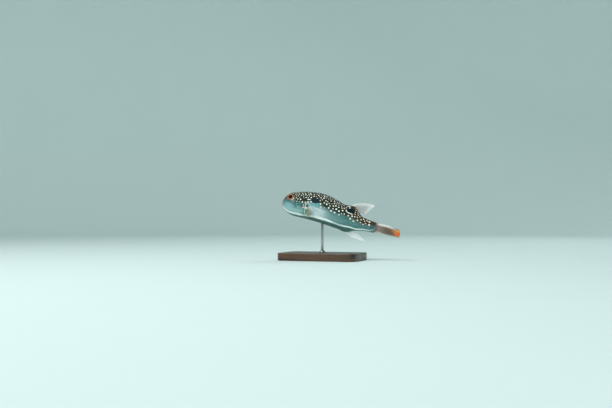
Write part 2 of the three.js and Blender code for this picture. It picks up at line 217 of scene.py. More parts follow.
@dataclass(frozen=True)
class Pose:
    """How the fish swims: bent to its right, banked, its snout raised, over the rod."""

    length: float = 121.0
    bend: float = 18.0
    bend_middle: float = 0.5
    bank: float = 7.0
    pitch: float = 14.5
    balance: float = 0.44
    height: float = 56.0

    def swim(self, points: np.ndarray) -> np.ndarray:
        """Moves points of the straight fish to where it swims.

        Args:
            points: places in millimetres, the last axis holding x, y and z.

        Returns:
            The same places in metres in the frame of the solids.
        """
        x, y, z = points[..., 0], points[..., 1], points[..., 2]
        rate = math.radians(self.bend) / self.length
        middle = self.bend_middle * self.length
        turn = (x - middle) * rate
        along = middle + np.sin(turn) / rate - y * np.sin(turn) - self.balance * self.length
        aside = (1 - np.cos(turn)) / rate + y * np.cos(turn)
        bank, pitch = math.radians(self.bank), math.radians(self.pitch)
        leaned = aside * math.cos(bank) + z * math.sin(bank)
        raised = z * math.cos(bank) - aside * math.sin(bank)
        ahead = along * math.cos(pitch) + raised * math.sin(pitch)
        up = raised * math.cos(pitch) - along * math.sin(pitch) + self.height
        return np.stack([ahead, leaned, up], axis=-1) * MM


@dataclass(frozen=True)
class BodyForm:
    """The straight body's surface, in millimetres."""

    length: float = 121.0
    snout_round: float = 0.035
    tail_round: float = 0.022
    dorsal_lobe: Lobe = Lobe(0.615, 0.745, 0.84, 5.2, 3.5)
    anal_lobe: Lobe = Lobe(0.62, 0.71, 0.8, 1.2, 3.2)
    eye: EyeSizes = EyeSizes()

    def column(self, name: str, at: np.ndarray) -> np.ndarray:
        """One column of the stations, smoothly between them.

        Args:
            name: the column.
            at: places along the body.

        Returns:
            Its values there, as shares of the length.
        """
        places = np.array([row.at for row in STATIONS])
        values = np.array([getattr(row, name) for row in STATIONS])
        last = len(places) - 1
        low, high = np.maximum(np.arange(last + 1) - 1, 0), np.minimum(np.arange(last + 1) + 1, last)
        slopes = (values[high] - values[low]) / (places[high] - places[low])
        i = np.clip(np.searchsorted(places, at) - 1, 0, last - 1)
        span = places[i + 1] - places[i]
        t = np.clip((at - places[i]) / span, 0, 1)
        rise = t * t * (3 - 2 * t)
        start = (t**3 - 2 * t * t + t) * span * slopes[i]
        end = (t**3 - t * t) * span * slopes[i + 1]
        return values[i] * (1 - rise) + values[i + 1] * rise + start + end

    def station(self, name: str, at: np.ndarray) -> np.ndarray:
        """The same in millimetres."""
        return self.column(name, at) * self.length

    def rounding(self, at: np.ndarray) -> np.ndarray:
        """How full the sections are.

        Args:
            at: places along the body.

        Returns:
            1 along the body, falling to 0 where the snout and the tail root close.
        """
        front = np.minimum(at / self.snout_round, 1)
        rear = np.minimum((1 - at) / self.tail_round, 1)
        return np.sqrt(np.maximum(0, 1 - (1 - front) ** 2)) * np.sqrt(np.maximum(0, 1 - (1 - rear) ** 2))

    def squareness(self, at: np.ndarray) -> np.ndarray:
        """How square a section is, 2 for an ellipse: the head is flatter between the eyes."""
        return 2.15 + 0.45 * bell(at - 0.16, 0.12)

    def fold_turn(self, at: np.ndarray) -> np.ndarray:
        """The angle down a side at which the fold of skin runs."""
        return np.arccos(-(self.column("fold", at) ** (self.squareness(at) / 2)))

    def surface(self, at: np.ndarray, turn: np.ndarray) -> np.ndarray:
        """Points of the surface.

        Args:
            at: places along the body, from 0 at the snout to 1 at the tail root.
            turn: angles round it, 0 on the back and pi on the belly, the right side first.

        Returns:
            Points in millimetres, x, y and z on the last axis.
        """
        at, turn = np.broadcast_arrays(np.asarray(at, float), np.asarray(turn, float))
        across, rise = np.sin(turn), np.cos(turn)
        power = 2 / self.squareness(at)
        closing, widest = self.rounding(at), self.station("widest", at)
        above, below = self.station("back", at) - widest, widest - self.station("belly", at)
        x = at * self.length
        y = self.station("half", at) * closing * signed_power(across, power)
        z = widest + np.where(rise > 0, above, below) * closing * signed_power(rise, power)
        lobe = np.where(rise > 0, self.dorsal_lobe.rise(at, y), -self.anal_lobe.rise(at, y))
        far = np.hypot(x - self.eye.at * self.length, z - self.eye.up * self.length)
        brow = self.eye.brow_height * bell(far, self.eye.brow_spread) * np.abs(across)
        return np.stack([x, y + np.sign(across) * brow, z + 0.5 * brow + lobe], axis=-1)

    def eye_frame(self, side: Side) -> tuple[np.ndarray, np.ndarray]:
        """Finds the place of an eye.

        Args:
            side: which eye.

        Returns:
            Its centre in millimetres and the way that its socket faces.
        """
        eye = self.eye
        widest, back = self.station("widest", eye.at), self.station("back", eye.at)
        share = (eye.up * self.length - widest) / (back - widest)
        turn = np.arccos(share ** (self.squareness(eye.at) / 2))
        centre = self.surface(eye.at, turn)
        centre[1] = (centre[1] - eye.sunk) * side.value
        tilt = math.radians(eye.tilt)
        return centre, np.array([0.0, side.value * math.cos(tilt), math.sin(tilt)])


# ---- Meshes ----


def linked(name: str, data: bpy.types.ID) -> bpy.types.Object:
    """Shows a mesh, a light or a camera in the scene.

    Args:
        name: the new object's name.
        data: what it shows.

    Returns:
        The new object, at the origin.
    """
    made = bpy.data.objects.new(name, data)
    bpy.context.scene.collection.objects.link(made)
    return made


def smooth_object(bm: bmesh.types.BMesh, name: str) -> bpy.types.Object:
    """Makes a smooth object of a mesh.

    Args:
        bm: the mesh; it is used up.
        name: the object's name.

    Returns:
        The new object.
    """
    mesh = bpy.data.meshes.new(name)
    bm.to_mesh(mesh)
    bm.free()
    mesh.shade_smooth()
    return linked(name, mesh)


def finished(bm: bmesh.types.BMesh, name: str, sharp: bool = False) -> bpy.types.Object:
    """Makes an object of a closed mesh, its faces pointing outwards.

    Args:
        bm: the mesh; it is used up.
        name: the piece's name.
        sharp: whether edges over the crease angle stay sharp.

    Returns:
        The new object, at the origin.
    """
    bmesh.ops.recalc_face_normals(bm, faces=bm.faces[:])
    if bm.calc_volume(signed=True) < 0:
        bmesh.ops.reverse_faces(bm, faces=bm.faces[:])
    made = smooth_object(bm, name)
    if sharp:
        made.data.set_sharp_from_angle(angle=math.radians(CREASE))
    return made


def turned(outline: list[tuple[float, float]], steps: int, closed: bool) -> bmesh.types.BMesh:
    """Turns an outline once round the upright axis.

    Args:
        outline: its points, as distance from the axis and height.
        steps: how many steps the turn has.
        closed: whether its last point joins its first.

    Returns:
        The mesh, its seam merged.
    """
    bm = bmesh.new()
    chain = [bm.verts.new((out, 0, up)) for out, up in outline]
    after = [*chain[1:], chain[0]] if closed else chain[1:]
    edges = [bm.edges.new(pair) for pair in zip(chain, after)]
    bmesh.ops.spin(
        bm, geom=[*chain, *edges], cent=(0, 0, 0), axis=(0, 0, 1), angle=2 * math.pi, steps=steps,
        use_merge=True,
    )
    return bm


def ease(bm: bmesh.types.BMesh, edges: list[bmesh.types.BMEdge], offset: float, segments: int) -> None:
    """Bevels edges of a mesh.

    Args:
        bm: the mesh.
        edges: the edges.
        offset: how far from an edge its bevel starts.
        segments: how many faces the bevel has across.
    """
    bmesh.ops.bevel(
        bm, geom=edges, affect="EDGES", offset=offset, segments=segments, profile=0.5, material=-1
    )


def place_vertices(bm: bmesh.types.BMesh, points: np.ndarray) -> None:
    """Puts each vertex of a mesh at its own row of points."""
    for vertex, point in zip(bm.verts, points.tolist()):
        vertex.co = point


def vertices_of(bm: bmesh.types.BMesh) -> np.ndarray:
    """The places of a mesh's vertices, one row each."""
    return np.array([vertex.co[:] for vertex in bm.verts])


def paint(made: bpy.types.Object, name: str, values: np.ndarray) -> None:
    """Keeps a number or a vector for each vertex.

    Args:
        made: the piece.
        name: the attribute's name.
        values: a number or a row of three for each vertex.
    """
    kind, key = ("FLOAT", "value") if values.ndim == 1 else ("FLOAT_VECTOR", "vector")
    attribute = made.data.attributes.new(name, kind, "POINT")
    attribute.data.foreach_set(key, values.astype(np.float32).ravel())


def dress(made: bpy.types.Object, finish: bpy.types.Material, slot: Slot, *nodes: str) -> None:
    """Finishes a piece and ties it to the solids.

    Args:
        made: the piece.
        finish: its material.
        slot: its material slot in the record; not used.
        nodes: the solids that it stands for.
    """
    made.data.materials.append(finish)
    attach(made, BODY)
    if nodes:
        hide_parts(*nodes)
    LOG.info("%s: %d faces", made.name, len(made.data.polygons))


# ---- Shader trees ----


@dataclass(frozen=True)
class Nodes:
    """Adds the nodes of one shader tree and joins them."""

    tree: bpy.types.NodeTree

    def feed(self, socket: bpy.types.NodeSocket, value: Feed) -> None:
        """Joins a socket to another, or sets its value.

        Args:
            socket: the socket to feed.
            value: another socket or a constant.
        """
        if isinstance(value, bpy.types.NodeSocket):
            self.tree.links.new(value, socket)
        else:
            socket.default_value = value

    def add(self, kind: str, feeds: dict[str | int, Feed], **settings: str | bool) -> bpy.types.Node:
        """Adds a node.

        Args:
            kind: its type.
            feeds: what goes into its sockets, by name or place.
            settings: its own settings.

        Returns:
            The new node.
        """
        node = self.tree.nodes.new(kind)
        for name, value in settings.items():
            setattr(node, name, value)
        for name, value in feeds.items():
            self.feed(node.inputs[name], value)
        return node

    def sum(
        self, operation: str, first: Feed, second: Feed = 0.0, clamp: bool = False
    ) -> bpy.types.NodeSocket:
        """One step of arithmetic."""
        feeds = {0: first, 1: second}
        return self.add("ShaderNodeMath", feeds, operation=operation, use_clamp=clamp).outputs[0]

    def plus(self, first: Feed, second: Feed) -> bpy.types.NodeSocket:
        """Two numbers added."""
        return self.sum("ADD", first, second)

    def minus(self, first: Feed, second: Feed, clamp: bool = False) -> bpy.types.NodeSocket:
        """The second number taken from the first, no less than 0 if clamped."""
        return self.sum("SUBTRACT", first, second, clamp)

    def step(self, value: Feed, low: Feed, high: Feed) -> bpy.types.NodeSocket:
        """0 below low, 1 above high and a soft step between them; low may be the greater."""
        feeds = {"Value": value, "From Min": low, "From Max": high}
        return self.add("ShaderNodeMapRange", feeds, interpolation_type="SMOOTHSTEP").outputs[0]

    def times(self, *masks: Feed) -> bpy.types.NodeSocket:
        """Multiplies masks or numbers.

        Args:
            masks: one or more of them.

        Returns:
            Their product.
        """
        made = masks[0]
        for mask in masks[1:]:
            made = self.sum("MULTIPLY", made, mask)
        return made

    def blend(self, share: Feed, first: Feed, second: Feed) -> bpy.types.NodeSocket:
        """A colour between two others."""
        feeds = {0: share, 6: first, 7: second}
        return self.add("ShaderNodeMix", feeds, data_type="RGBA").outputs[2]

    def lay(self, colour: Feed, code: str, *masks: Feed) -> bpy.types.NodeSocket:
        """A colour with a screen colour laid over it where all the masks are."""
        return self.blend(self.times(*masks), colour, tone(code))

    def between(self, share: Feed, first: Feed, second: Feed) -> bpy.types.NodeSocket:
        """A number between two others."""
        return self.add("ShaderNodeMix", {0: share, 2: first, 3: second}, data_type="FLOAT").outputs[0]

    def noise(
        self, place: Feed, scale: Feed, detail: float = 2.0, rough: float = 0.5
    ) -> bpy.types.NodeSocket:
        """Soft noise about 0.5."""
        feeds = {"Vector": place, "Scale": scale, "Detail": detail, "Roughness": rough}
        return self.add("ShaderNodeTexNoise", feeds).outputs["Fac"]

    def stretch(self, place: Feed, scale: tuple[float, float, float]) -> bpy.types.NodeSocket:
        """A place with each axis scaled."""
        return self.add("ShaderNodeMapping", {"Vector": place, "Scale": scale}).outputs[0]

    def number(self, name: str) -> bpy.types.NodeSocket:
        """A number that the mesh carries at each vertex."""
        return self.add("ShaderNodeAttribute", {}, attribute_name=name).outputs["Fac"]

    def vector(self, name: str) -> bpy.types.NodeSocket:
        """A vector that the mesh carries at each vertex."""
        return self.add("ShaderNodeAttribute", {}, attribute_name=name).outputs["Vector"]

    def point(self, x: Feed, y: Feed, z: Feed = 0.0) -> bpy.types.NodeSocket:
        """A vector of three numbers."""
        return self.add("ShaderNodeCombineXYZ", {0: x, 1: y, 2: z}).outputs[0]

    def bump(self, height: Feed, distance: float, strength: float) -> bpy.types.NodeSocket:
        """The normal of a surface with that height; the distance is in metres."""
        feeds = {"Height": height, "Distance": distance, "Strength": strength}
        return self.add("ShaderNodeBump", feeds).outputs[0]

    def parts(self, vector: Feed) -> list[bpy.types.NodeSocket]:
        """The three numbers of a vector."""
        return list(self.add("ShaderNodeSeparateXYZ", {0: vector}).outputs)

    def object_place(self) -> bpy.types.NodeSocket:
        """The place on the piece, in metres."""
        return self.add("ShaderNodeTexCoord", {}).outputs["Object"]

    def group(self, tree: bpy.types.NodeTree, feeds: dict[str, Feed]) -> bpy.types.Node:
        """Places a group.

        Args:
            tree: the group's tree.
            feeds: what goes into its sockets.

        Returns:
            The group's node.
        """
        node = self.tree.nodes.new("ShaderNodeGroup")
        node.node_tree = tree
        for name, value in feeds.items():
            self.feed(node.inputs[name], value)
        return node


@dataclass
class GroupMaker:
    """Starts a shader group: its tree, its inputs and the node that takes its outputs."""

    name: str
    takes: dict[str, str]
    gives: dict[str, str]
    nodes: Nodes = field(init=False)
    inputs: bpy.types.Node = field(init=False)
    outputs: bpy.types.Node = field(init=False)

    def __post_init__(self) -> None:
        """Makes the tree and its sockets."""
        tree = bpy.data.node_groups.new(self.name, "ShaderNodeTree")
        for socket, kind in self.takes.items():
            tree.interface.new_socket(socket, in_out="INPUT", socket_type=f"NodeSocket{kind}")
        for socket, kind in self.gives.items():
            tree.interface.new_socket(socket, in_out="OUTPUT", socket_type=f"NodeSocket{kind}")
        self.nodes = Nodes(tree)
        self.inputs = tree.nodes.new("NodeGroupInput")
        self.outputs = tree.nodes.new("NodeGroupOutput")

    def take(self, socket: str) -> bpy.types.NodeSocket:
        """One of the group's inputs."""
        return self.inputs.outputs[socket]

    def give(self, socket: str, value: Feed) -> None:
        """Feeds one of the group's outputs."""
        self.nodes.feed(self.outputs.inputs[socket], value)


def start_material(name: str, **constants: Feed) -> tuple[bpy.types.Material, Nodes, bpy.types.Node]:
    """A new material with its shader.

    Args:
        name: the material's name.
        constants: the shader's values that are the same all over, with _ for each space.

    Returns:
        The material, the maker of its nodes and its Principled shader.
    """
    material = bpy.data.materials.new(name)
    material.use_nodes = True
    shader = material.node_tree.nodes["Principled BSDF"]
    for socket, value in constants.items():
        shader.inputs[socket.replace("_", " ")].default_value = value
    return material, Nodes(material.node_tree), shader


# ---- Effects that several finishes share ----


@dataclass(frozen=True)
class Markings:
    """The puffer's markings: a dark back full of round pale spots, and dark blotches."""

    ground: str = "#1a211a"
    mottle: str = "#3d4436"
    halo: str = "#0c120e"
    low: str = "#24342f"
    rear: str = "#56432e"
    fleck: str = "#3c5852"
    spot_dull: str = "#e6e6d0"
    spot_bright: str = "#fdfffa"
    blotch: str = "#00222b"
    cover: float = 0.97

    def back(self, n: Nodes, flat: Feed, along: Feed, band: Feed, dot: Feed) -> bpy.types.NodeSocket:
        """The dark back without its spots.

        Args:
            n: the maker of the nodes.
            flat: the place on the skin.
            along: the place along the body.
            band: the height above the dark back's lower limit.
            dot: the distance outside a pale spot.

        Returns:
            Its colour.
        """
        mottle = n.noise(flat, 1.1, 4.0, 0.65)
        colour = n.blend(n.step(mottle, 0.35, 0.68), tone(self.ground), tone(self.mottle))
        colour = n.lay(colour, self.halo, n.step(dot, 0.75, 0.1), 0.6)
        colour = n.lay(colour, self.low, n.step(band, 4.5, 0.5), 0.6)
        return n.lay(colour, self.rear, n.step(along, 78.0, 98.0), n.step(mottle, 0.3, 0.6))

    def group(self) -> bpy.types.NodeTree:
        """Builds the markings as a shader group.

        Returns:
            A group that takes the place on the skin in millimetres (along, round and up), how far
            above the dark back's lower limit, outside a blotch and outside a pale spot that is,
            and the flank's colour.
        """
        made = GroupMaker(
            "puffer_markings",
            {"Lie": "Vector", "Band": "Float", "Blotch": "Float", "Dot": "Float", "Flank": "Color"},
            {"Color": "Color", "Dark": "Float", "Spot": "Float"},
        )
        n = made.nodes
        along, round_it, _ = n.parts(made.take("Lie"))
        flat = n.point(along, round_it)

        def uneven(scale: float, width: float) -> bpy.types.NodeSocket:
            """Noise of that width about 0."""
            return n.times(n.minus(n.noise(flat, scale, 3.0, 0.6), 0.5), width)

        band = n.plus(made.take("Band"), n.plus(uneven(0.3, 4.5), uneven(1.5, 2.6)))
        dot = n.plus(made.take("Dot"), n.plus(uneven(1.7, 0.5), uneven(0.5, 0.55)))
        blotch = n.plus(made.take("Blotch"), uneven(0.9, 1.1))
        halo = n.times(n.step(dot, 0.95, 0.2), n.step(band, -3.4, -1.4), 0.85)
        dark = n.sum("MAXIMUM", n.step(band, -0.7, 1.4), halo)
        inside = n.step(blotch, 0.22, -0.22)
        spot = n.times(n.step(dot, 0.13, -0.15), n.step(band, -4.2, -2.2), n.step(blotch, 0.05, 0.4))

        fleck = n.step(n.noise(flat, 1.3, 3.0, 0.7), 0.47, 0.6)
        near = n.step(made.take("Band"), -5.5, -0.5)
        flank = n.lay(made.take("Flank"), self.fleck, fleck, near, 0.65)
        colour = n.blend(dark, flank, self.back(n, flat, along, band, dot))
        bright = n.step(n.noise(flat, 0.4, 2.0), 0.42, 0.58)
        pale = n.blend(bright, tone(self.spot_dull), tone(self.spot_bright))
        colour = n.blend(n.times(spot, self.cover), colour, pale)
        made.give("Color", n.lay(colour, self.blotch, inside, self.cover))
        made.give("Dark", n.sum("MAXIMUM", dark, inside))
        made.give("Spot", spot)
        return made.nodes.tree


def streaks_group() -> bpy.types.NodeTree:
    """A fin's rays and web.

    Returns:
        A group that takes the place on the fin (across, root to edge, and how much of a ray is
        there) and gives the ray, its joints, the streaks of the web and a fading to the edge.
    """
    made = GroupMaker(
        "fin_streaks",
        {"Web": "Vector", "Rays": "Float"},
        {"Ray": "Float", "Joint": "Float", "Streak": "Float", "Edge": "Float"},
    )
    n = made.nodes
    across, along, ray = n.parts(made.take("Web"))
    counted = n.times(across, made.take("Rays"))
    drawn = n.point(counted, n.times(along, 2.2))
    row = n.sum("FRACT", n.plus(n.times(along, 34.0), n.noise(drawn, 1.0, 0.0)))
    made.give("Ray", ray)
    made.give("Joint", n.times(n.step(row, 0.72, 0.92), ray, n.step(along, 0.2, 0.4)))
    made.give("Streak", n.noise(drawn, 1.4, 3.0, 0.6))
    made.give("Edge", n.step(along, 0.72, 1.0))
    return made.nodes.tree


def grit_group() -> bpy.types.NodeTree:
    """Fine unevenness for a surface.

    Returns:
        A group that takes a place and a scale and gives a height about 0.5 and a slow variation.
    """
    made = GroupMaker(
        "fine_grit",
        {"Place": "Vector", "Scale": "Float"},
        {"Height": "Float", "Drift": "Float"},
    )
    n = made.nodes
    made.give("Height", n.noise(made.take("Place"), made.take("Scale"), 4.0, 0.6))
    made.give("Drift", n.noise(made.take("Place"), n.times(made.take("Scale"), 0.12), 2.0))
    return made.nodes.tree


@dataclass
class Effects:
    """The shader groups, built once."""

    markings: bpy.types.NodeTree = field(default_factory=Markings().group)
    streaks: bpy.types.NodeTree = field(default_factory=streaks_group)
    grit: bpy.types.NodeTree = field(default_factory=grit_group)


# ---- Finishes ----


@dataclass(frozen=True)
class Patch:
    """A soft patch of colour on the flank: where it rises and falls along and up, and its share."""

    colour: str
    share: float
    along_rise: tuple[float, float]
    along_fall: tuple[float, float]
    up_rise: tuple[float, float]
    up_fall: tuple[float, float]

    def on(self, n: Nodes, colour: Feed, along: Feed, up: Feed, share: Feed) -> bpy.types.NodeSocket:
        """Lays the patch over a colour.

        Args:
            n: the maker of the nodes.
            colour: the colour under it.
            along: the place along the body.
            up: the height above the long axis.
            share: a mask that breaks up the patch.

        Returns:
            The colour with the patch on it.
        """
        return n.lay(
            colour, self.colour, n.step(along, *self.along_rise), n.step(along, *self.along_fall[::-1]),
            n.step(up, *self.up_rise), n.step(up, *self.up_fall[::-1]), share, self.share,
        )


@dataclass(frozen=True)
class SkinFinish:
    """Wet, scaleless skin: spotted above, silvery on the flank, with a white edge and a painted highlight
    along the fold, and painted shade over the pale belly.
    """

    flank_low: str = "#83a8a8"
    flank_high: str = "#507873"
    # the pale belly painted dark grey-teal with the shade that it lies in
    belly: str = "#5b7b77"
    # near white: the white edge of the belly along the fold, with a highlight painted over it
    shine: str = "#fbfffd"
    rosy: str = "#c4988c"
    # painted shade in the hollows: the mouth's slit, the gill slits, the nostrils and round the eyes
    hollow: str = "#17130f"
    tail_root: str = "#6f736b"
    spine_spacing: float = 0.62
    patches: tuple[Patch, ...] = (
        Patch("#4b7a77", 0.8, (64.0, 90.0), (200.0, 210.0), (-20.0, -19.0), (20.0, 21.0)),
        # silvery skin behind the gill, painted paler with the light that it reflects
        Patch("#dce5ea", 0.95, (37.0, 43.0), (52.0, 70.0), (-13.0, -8.0), (1.0, 7.0)),
        Patch("#98bccb", 0.75, (6.0, 10.0), (17.0, 24.0), (-5.5, -2.0), (-0.5, 2.0)),
        # painted shade under the eye
        Patch("#2c6a68", 0.6, (6.5, 9.5), (14.5, 19.0), (1.2, 2.8), (4.0, 6.0)),
        Patch("#a9cbc9", 0.7, (0.0, 4.0), (28.0, 36.0), (-20.0, -19.0), (-6.0, -1.0)),
        Patch("#6fb0b4", 0.8, (39.0, 43.0), (51.0, 57.0), (3.0, 5.0), (9.0, 11.0)),
        Patch("#2c4c55", 0.7, (112.0, 115.0), (118.0, 119.5), (-4.0, -1.5), (1.5, 4.0)),
    )
    cheek_dark: tuple[Patch, ...] = (
        Patch("#2a5a60", 0.85, (16.0, 20.0), (30.0, 34.0), (-4.5, -1.0), (6.0, 9.0)),
    )
    cheek_pale: tuple[Patch, ...] = (
        Patch("#86bab9", 0.6, (15.0, 19.0), (30.0, 35.0), (-6.0, -2.0), (6.0, 9.0)),
    )
    gill_dark: tuple[Patch, ...] = (
        Patch("#0c2624", 0.95, (30.4, 32.0), (33.8, 35.4), (-1.0, 0.3), (1.4, 3.0)),
        Patch("#1b332c", 0.95, (36.2, 38.0), (39.4, 41.2), (0.4, 2.0), (3.4, 5.6)),
        Patch("#2a463e", 0.85, (36.2, 38.0), (39.4, 41.0), (-5.6, -4.0), (-2.8, -1.2)),
    )
    gill_pale: tuple[Patch, ...] = (
        Patch("#b9d0bd", 0.9, (33.8, 34.8), (39.0, 43.0), (3.6, 4.6), (8.0, 9.6)),
        Patch("#f8e8e6", 1.0, (32.0, 33.2), (38.0, 46.0), (-1.2, -0.6), (0.2, 0.8)),
        Patch("#f2ebe2", 0.95, (35.5, 36.0), (36.9, 37.4), (-1.4, -0.6), (4.4, 5.4)),
        Patch("#c9dfd0", 0.8, (35.7, 36.1), (36.9, 37.4), (-9.0, -7.6), (-1.4, -0.6)),
    )
    muzzle: tuple[Patch, ...] = (
        Patch("#b9a198", 0.75, (-2.0, -1.0), (4.0, 6.5), (-7.5, -5.0), (4.0, 6.5)),
        Patch("#4a3c32", 0.8, (1.7, 2.5), (3.2, 4.2), (-5.5, -3.8), (3.6, 5.0)),
    )

    def flank(self, n: Nodes, lie: Feed, along: Feed, up: Feed) -> bpy.types.NodeSocket:
        """The flank's own colour, without the markings; the patches have wavering edges.

        Args:
            n: the maker of the nodes.
            lie: the place on the skin.
            along: the place along the body.
            up: the height above the long axis.

        Returns:
            The colour.
        """
        waver = n.minus(n.noise(lie, 0.55, 2.0), 0.5)
        sway = n.minus(n.noise(n.stretch(lie, (0.5, 0.75, 0.75)), 1.0, 2.0), 0.5)
        along = n.plus(along, n.times(waver, 3.4))
        up = n.plus(up, n.times(sway, 3.0))
        colour = n.blend(n.step(up, -6.0, 8.0), tone(self.flank_low), tone(self.flank_high))
        cloud = n.noise(n.stretch(lie, (0.16, 0.34, 0.34)), 1.0, 3.0, 0.6)
        soft = n.between(n.step(cloud, 0.36, 0.6), 0.6, 1.0)
        smudge = n.noise(n.stretch(lie, (1.0, 0.7, 0.7)), 1.0, 4.0, 0.7)
        mottle = n.noise(n.stretch(lie, (0.34, 0.42, 0.42)), 1.0, 3.0, 0.65)
        layers = (
            (self.patches, soft),
            (self.muzzle, n.step(smudge, 0.3, 0.55)),
            (self.cheek_dark, n.step(mottle, 0.38, 0.58)),
            (self.cheek_pale, n.step(mottle, 0.5, 0.34)),
            (self.gill_dark, n.step(smudge, 0.3, 0.5)),
            (self.gill_pale, n.step(smudge, 0.68, 0.5)),
        )
        for patches, share in layers:
            for patch in patches:
                colour = patch.on(n, colour, along, up, share)
        return colour

    def material(self, effects: Effects) -> bpy.types.Material:
        """Builds the skin's material.

        Args:
            effects: the shared shader groups.

        Returns:
            The material; it reads the attributes that Skin paints.
        """
        material, n, shader = start_material(
            "puffer_skin", IOR=1.36, Coat_Weight=0.04, Coat_Roughness=0.22, Specular_IOR_Level=0.1,
            Subsurface_Weight=0.06, Subsurface_Radius=(1.0, 0.7, 0.55), Subsurface_Scale=0.001,
        )
        lie = n.vector("lie")
        along, _, up = n.parts(lie)
        fold, rosy = n.number("fold"), n.number("rosy")
        grit = n.group(effects.grit, {"Place": lie, "Scale": 2.4})

        # below the fold the skin takes the belly's colour, which is painted shade
        flank = n.lay(self.flank(n, lie, along, up), self.belly, n.step(fold, -0.2, 1.3))
        marks = n.group(effects.markings, {
            "Lie": lie,
            "Band": n.number("band"),
            "Blotch": n.number("blotch"),
            "Dot": n.number("dot"),
            "Flank": flank,
        })
        # the white fold edge, brightened with a painted highlight
        colour = n.lay(marks.outputs["Color"], self.shine, n.number("shine"))
        colour = n.lay(colour, self.rosy, rosy, 0.8)
        colour = n.lay(colour, self.tail_root, n.step(along, 117.5, 120.5), 0.75)
        # painted shade in the slits, pits and eye sockets
        colour = n.lay(colour, self.hollow, n.number("hollow"), 0.85)
        n.feed(shader.inputs["Base Color"], colour)

        plain = n.minus(1.0, n.sum("MAXIMUM", marks.outputs["Dark"], rosy), clamp=True)
        silver = n.times(plain, n.step(fold, 1.5, -0.5), n.between(grit.outputs["Drift"], 0.25, 0.75))
        n.feed(shader.inputs["Metallic"], n.times(silver, 0.6))
        dull = n.between(grit.outputs["Drift"], 0.3, 0.46)
        n.feed(shader.inputs["Roughness"], n.plus(dull, n.times(marks.outputs["Dark"], 0.16)))

        spines = n.add("ShaderNodeTexVoronoi", {"Vector": lie, "Scale": 1 / self.spine_spacing})
        prick = n.step(spines.outputs["Distance"], 0.42, 0.05)
        rough = n.times(prick, n.sum("MAXIMUM", marks.outputs["Dark"], n.step(fold, 0.5, 2.5)))
        height = n.plus(n.times(grit.outputs["Height"], 0.6), n.times(rough, 0.75))
        height = n.plus(height, n.times(marks.outputs["Spot"], 0.25))
        n.feed(shader.inputs["Normal"], n.bump(height, 0.00009, 0.8))
        return material


@dataclass(frozen=True)
class EyeFinish:
    """A glossy eye with an orange iris; the radii are in millimetres."""

    pupil: float = 2.35
    pupil_wide: float = 1.06
    iris: float = 2.95
    colour_inner: str = "#ffb020"
    colour_iris: str = "#ff8000"
    colour_outer: str = "#e45a00"
    colour_edge: str = "#5a463e"
    colour_pupil: str = "#01031a"
    # a painted reflection in the middle of the pupil
    colour_painted_glint: str = "#0a50b4"

    def material(self) -> bpy.types.Material:
        """Builds the eye's material.

        Returns:
            The material; it reads the gaze attribute of the ball.
        """
        material, n, shader = start_material(
            "puffer_eye", IOR=1.34, Coat_Weight=0.2, Coat_Roughness=0.02, Coat_IOR=1.34, Roughness=0.3,
            Specular_IOR_Level=0.1,
        )
        ahead, up, _ = n.parts(n.vector("gaze"))
        narrow = n.sum("DIVIDE", ahead, self.pupil_wide)
        radius = n.sum("SQRT", n.plus(n.times(narrow, narrow), n.times(up, up)))
        angle = n.sum("ARCTAN2", up, ahead)
        spokes = n.point(
            n.times(n.sum("SINE", angle), 3.0), n.times(n.sum("COSINE", angle), 3.0), n.times(radius, 0.35)
        )
        streak = n.noise(spokes, 3.2, 3.0, 0.6)
        outward = n.step(radius, self.pupil, self.iris)
        iris = n.blend(outward, tone(self.colour_iris), tone(self.colour_outer))
        iris = n.lay(iris, self.colour_inner, n.step(up, -0.5, 2.4), 0.75)
        iris = n.lay(iris, self.colour_outer, n.step(streak, 0.45, 0.7), 0.35)
        iris = n.lay(iris, self.colour_inner, n.step(radius, self.pupil + 0.3, self.pupil + 0.08), 0.8)
        iris = n.lay(iris, self.colour_edge, n.step(radius, self.iris - 0.15, self.iris + 0.3))
        # the pupil, with a painted blue reflection at its middle
        pupil = n.lay(tone(self.colour_pupil), self.colour_painted_glint, n.step(radius, 1.1, 0.2), 0.55)
        inside = n.step(radius, self.pupil + 0.06, self.pupil - 0.06)
        n.feed(shader.inputs["Base Color"], n.blend(inside, iris, pupil))
        n.feed(shader.inputs["Metallic"], n.times(n.minus(1.0, inside), 0.25))
        return material


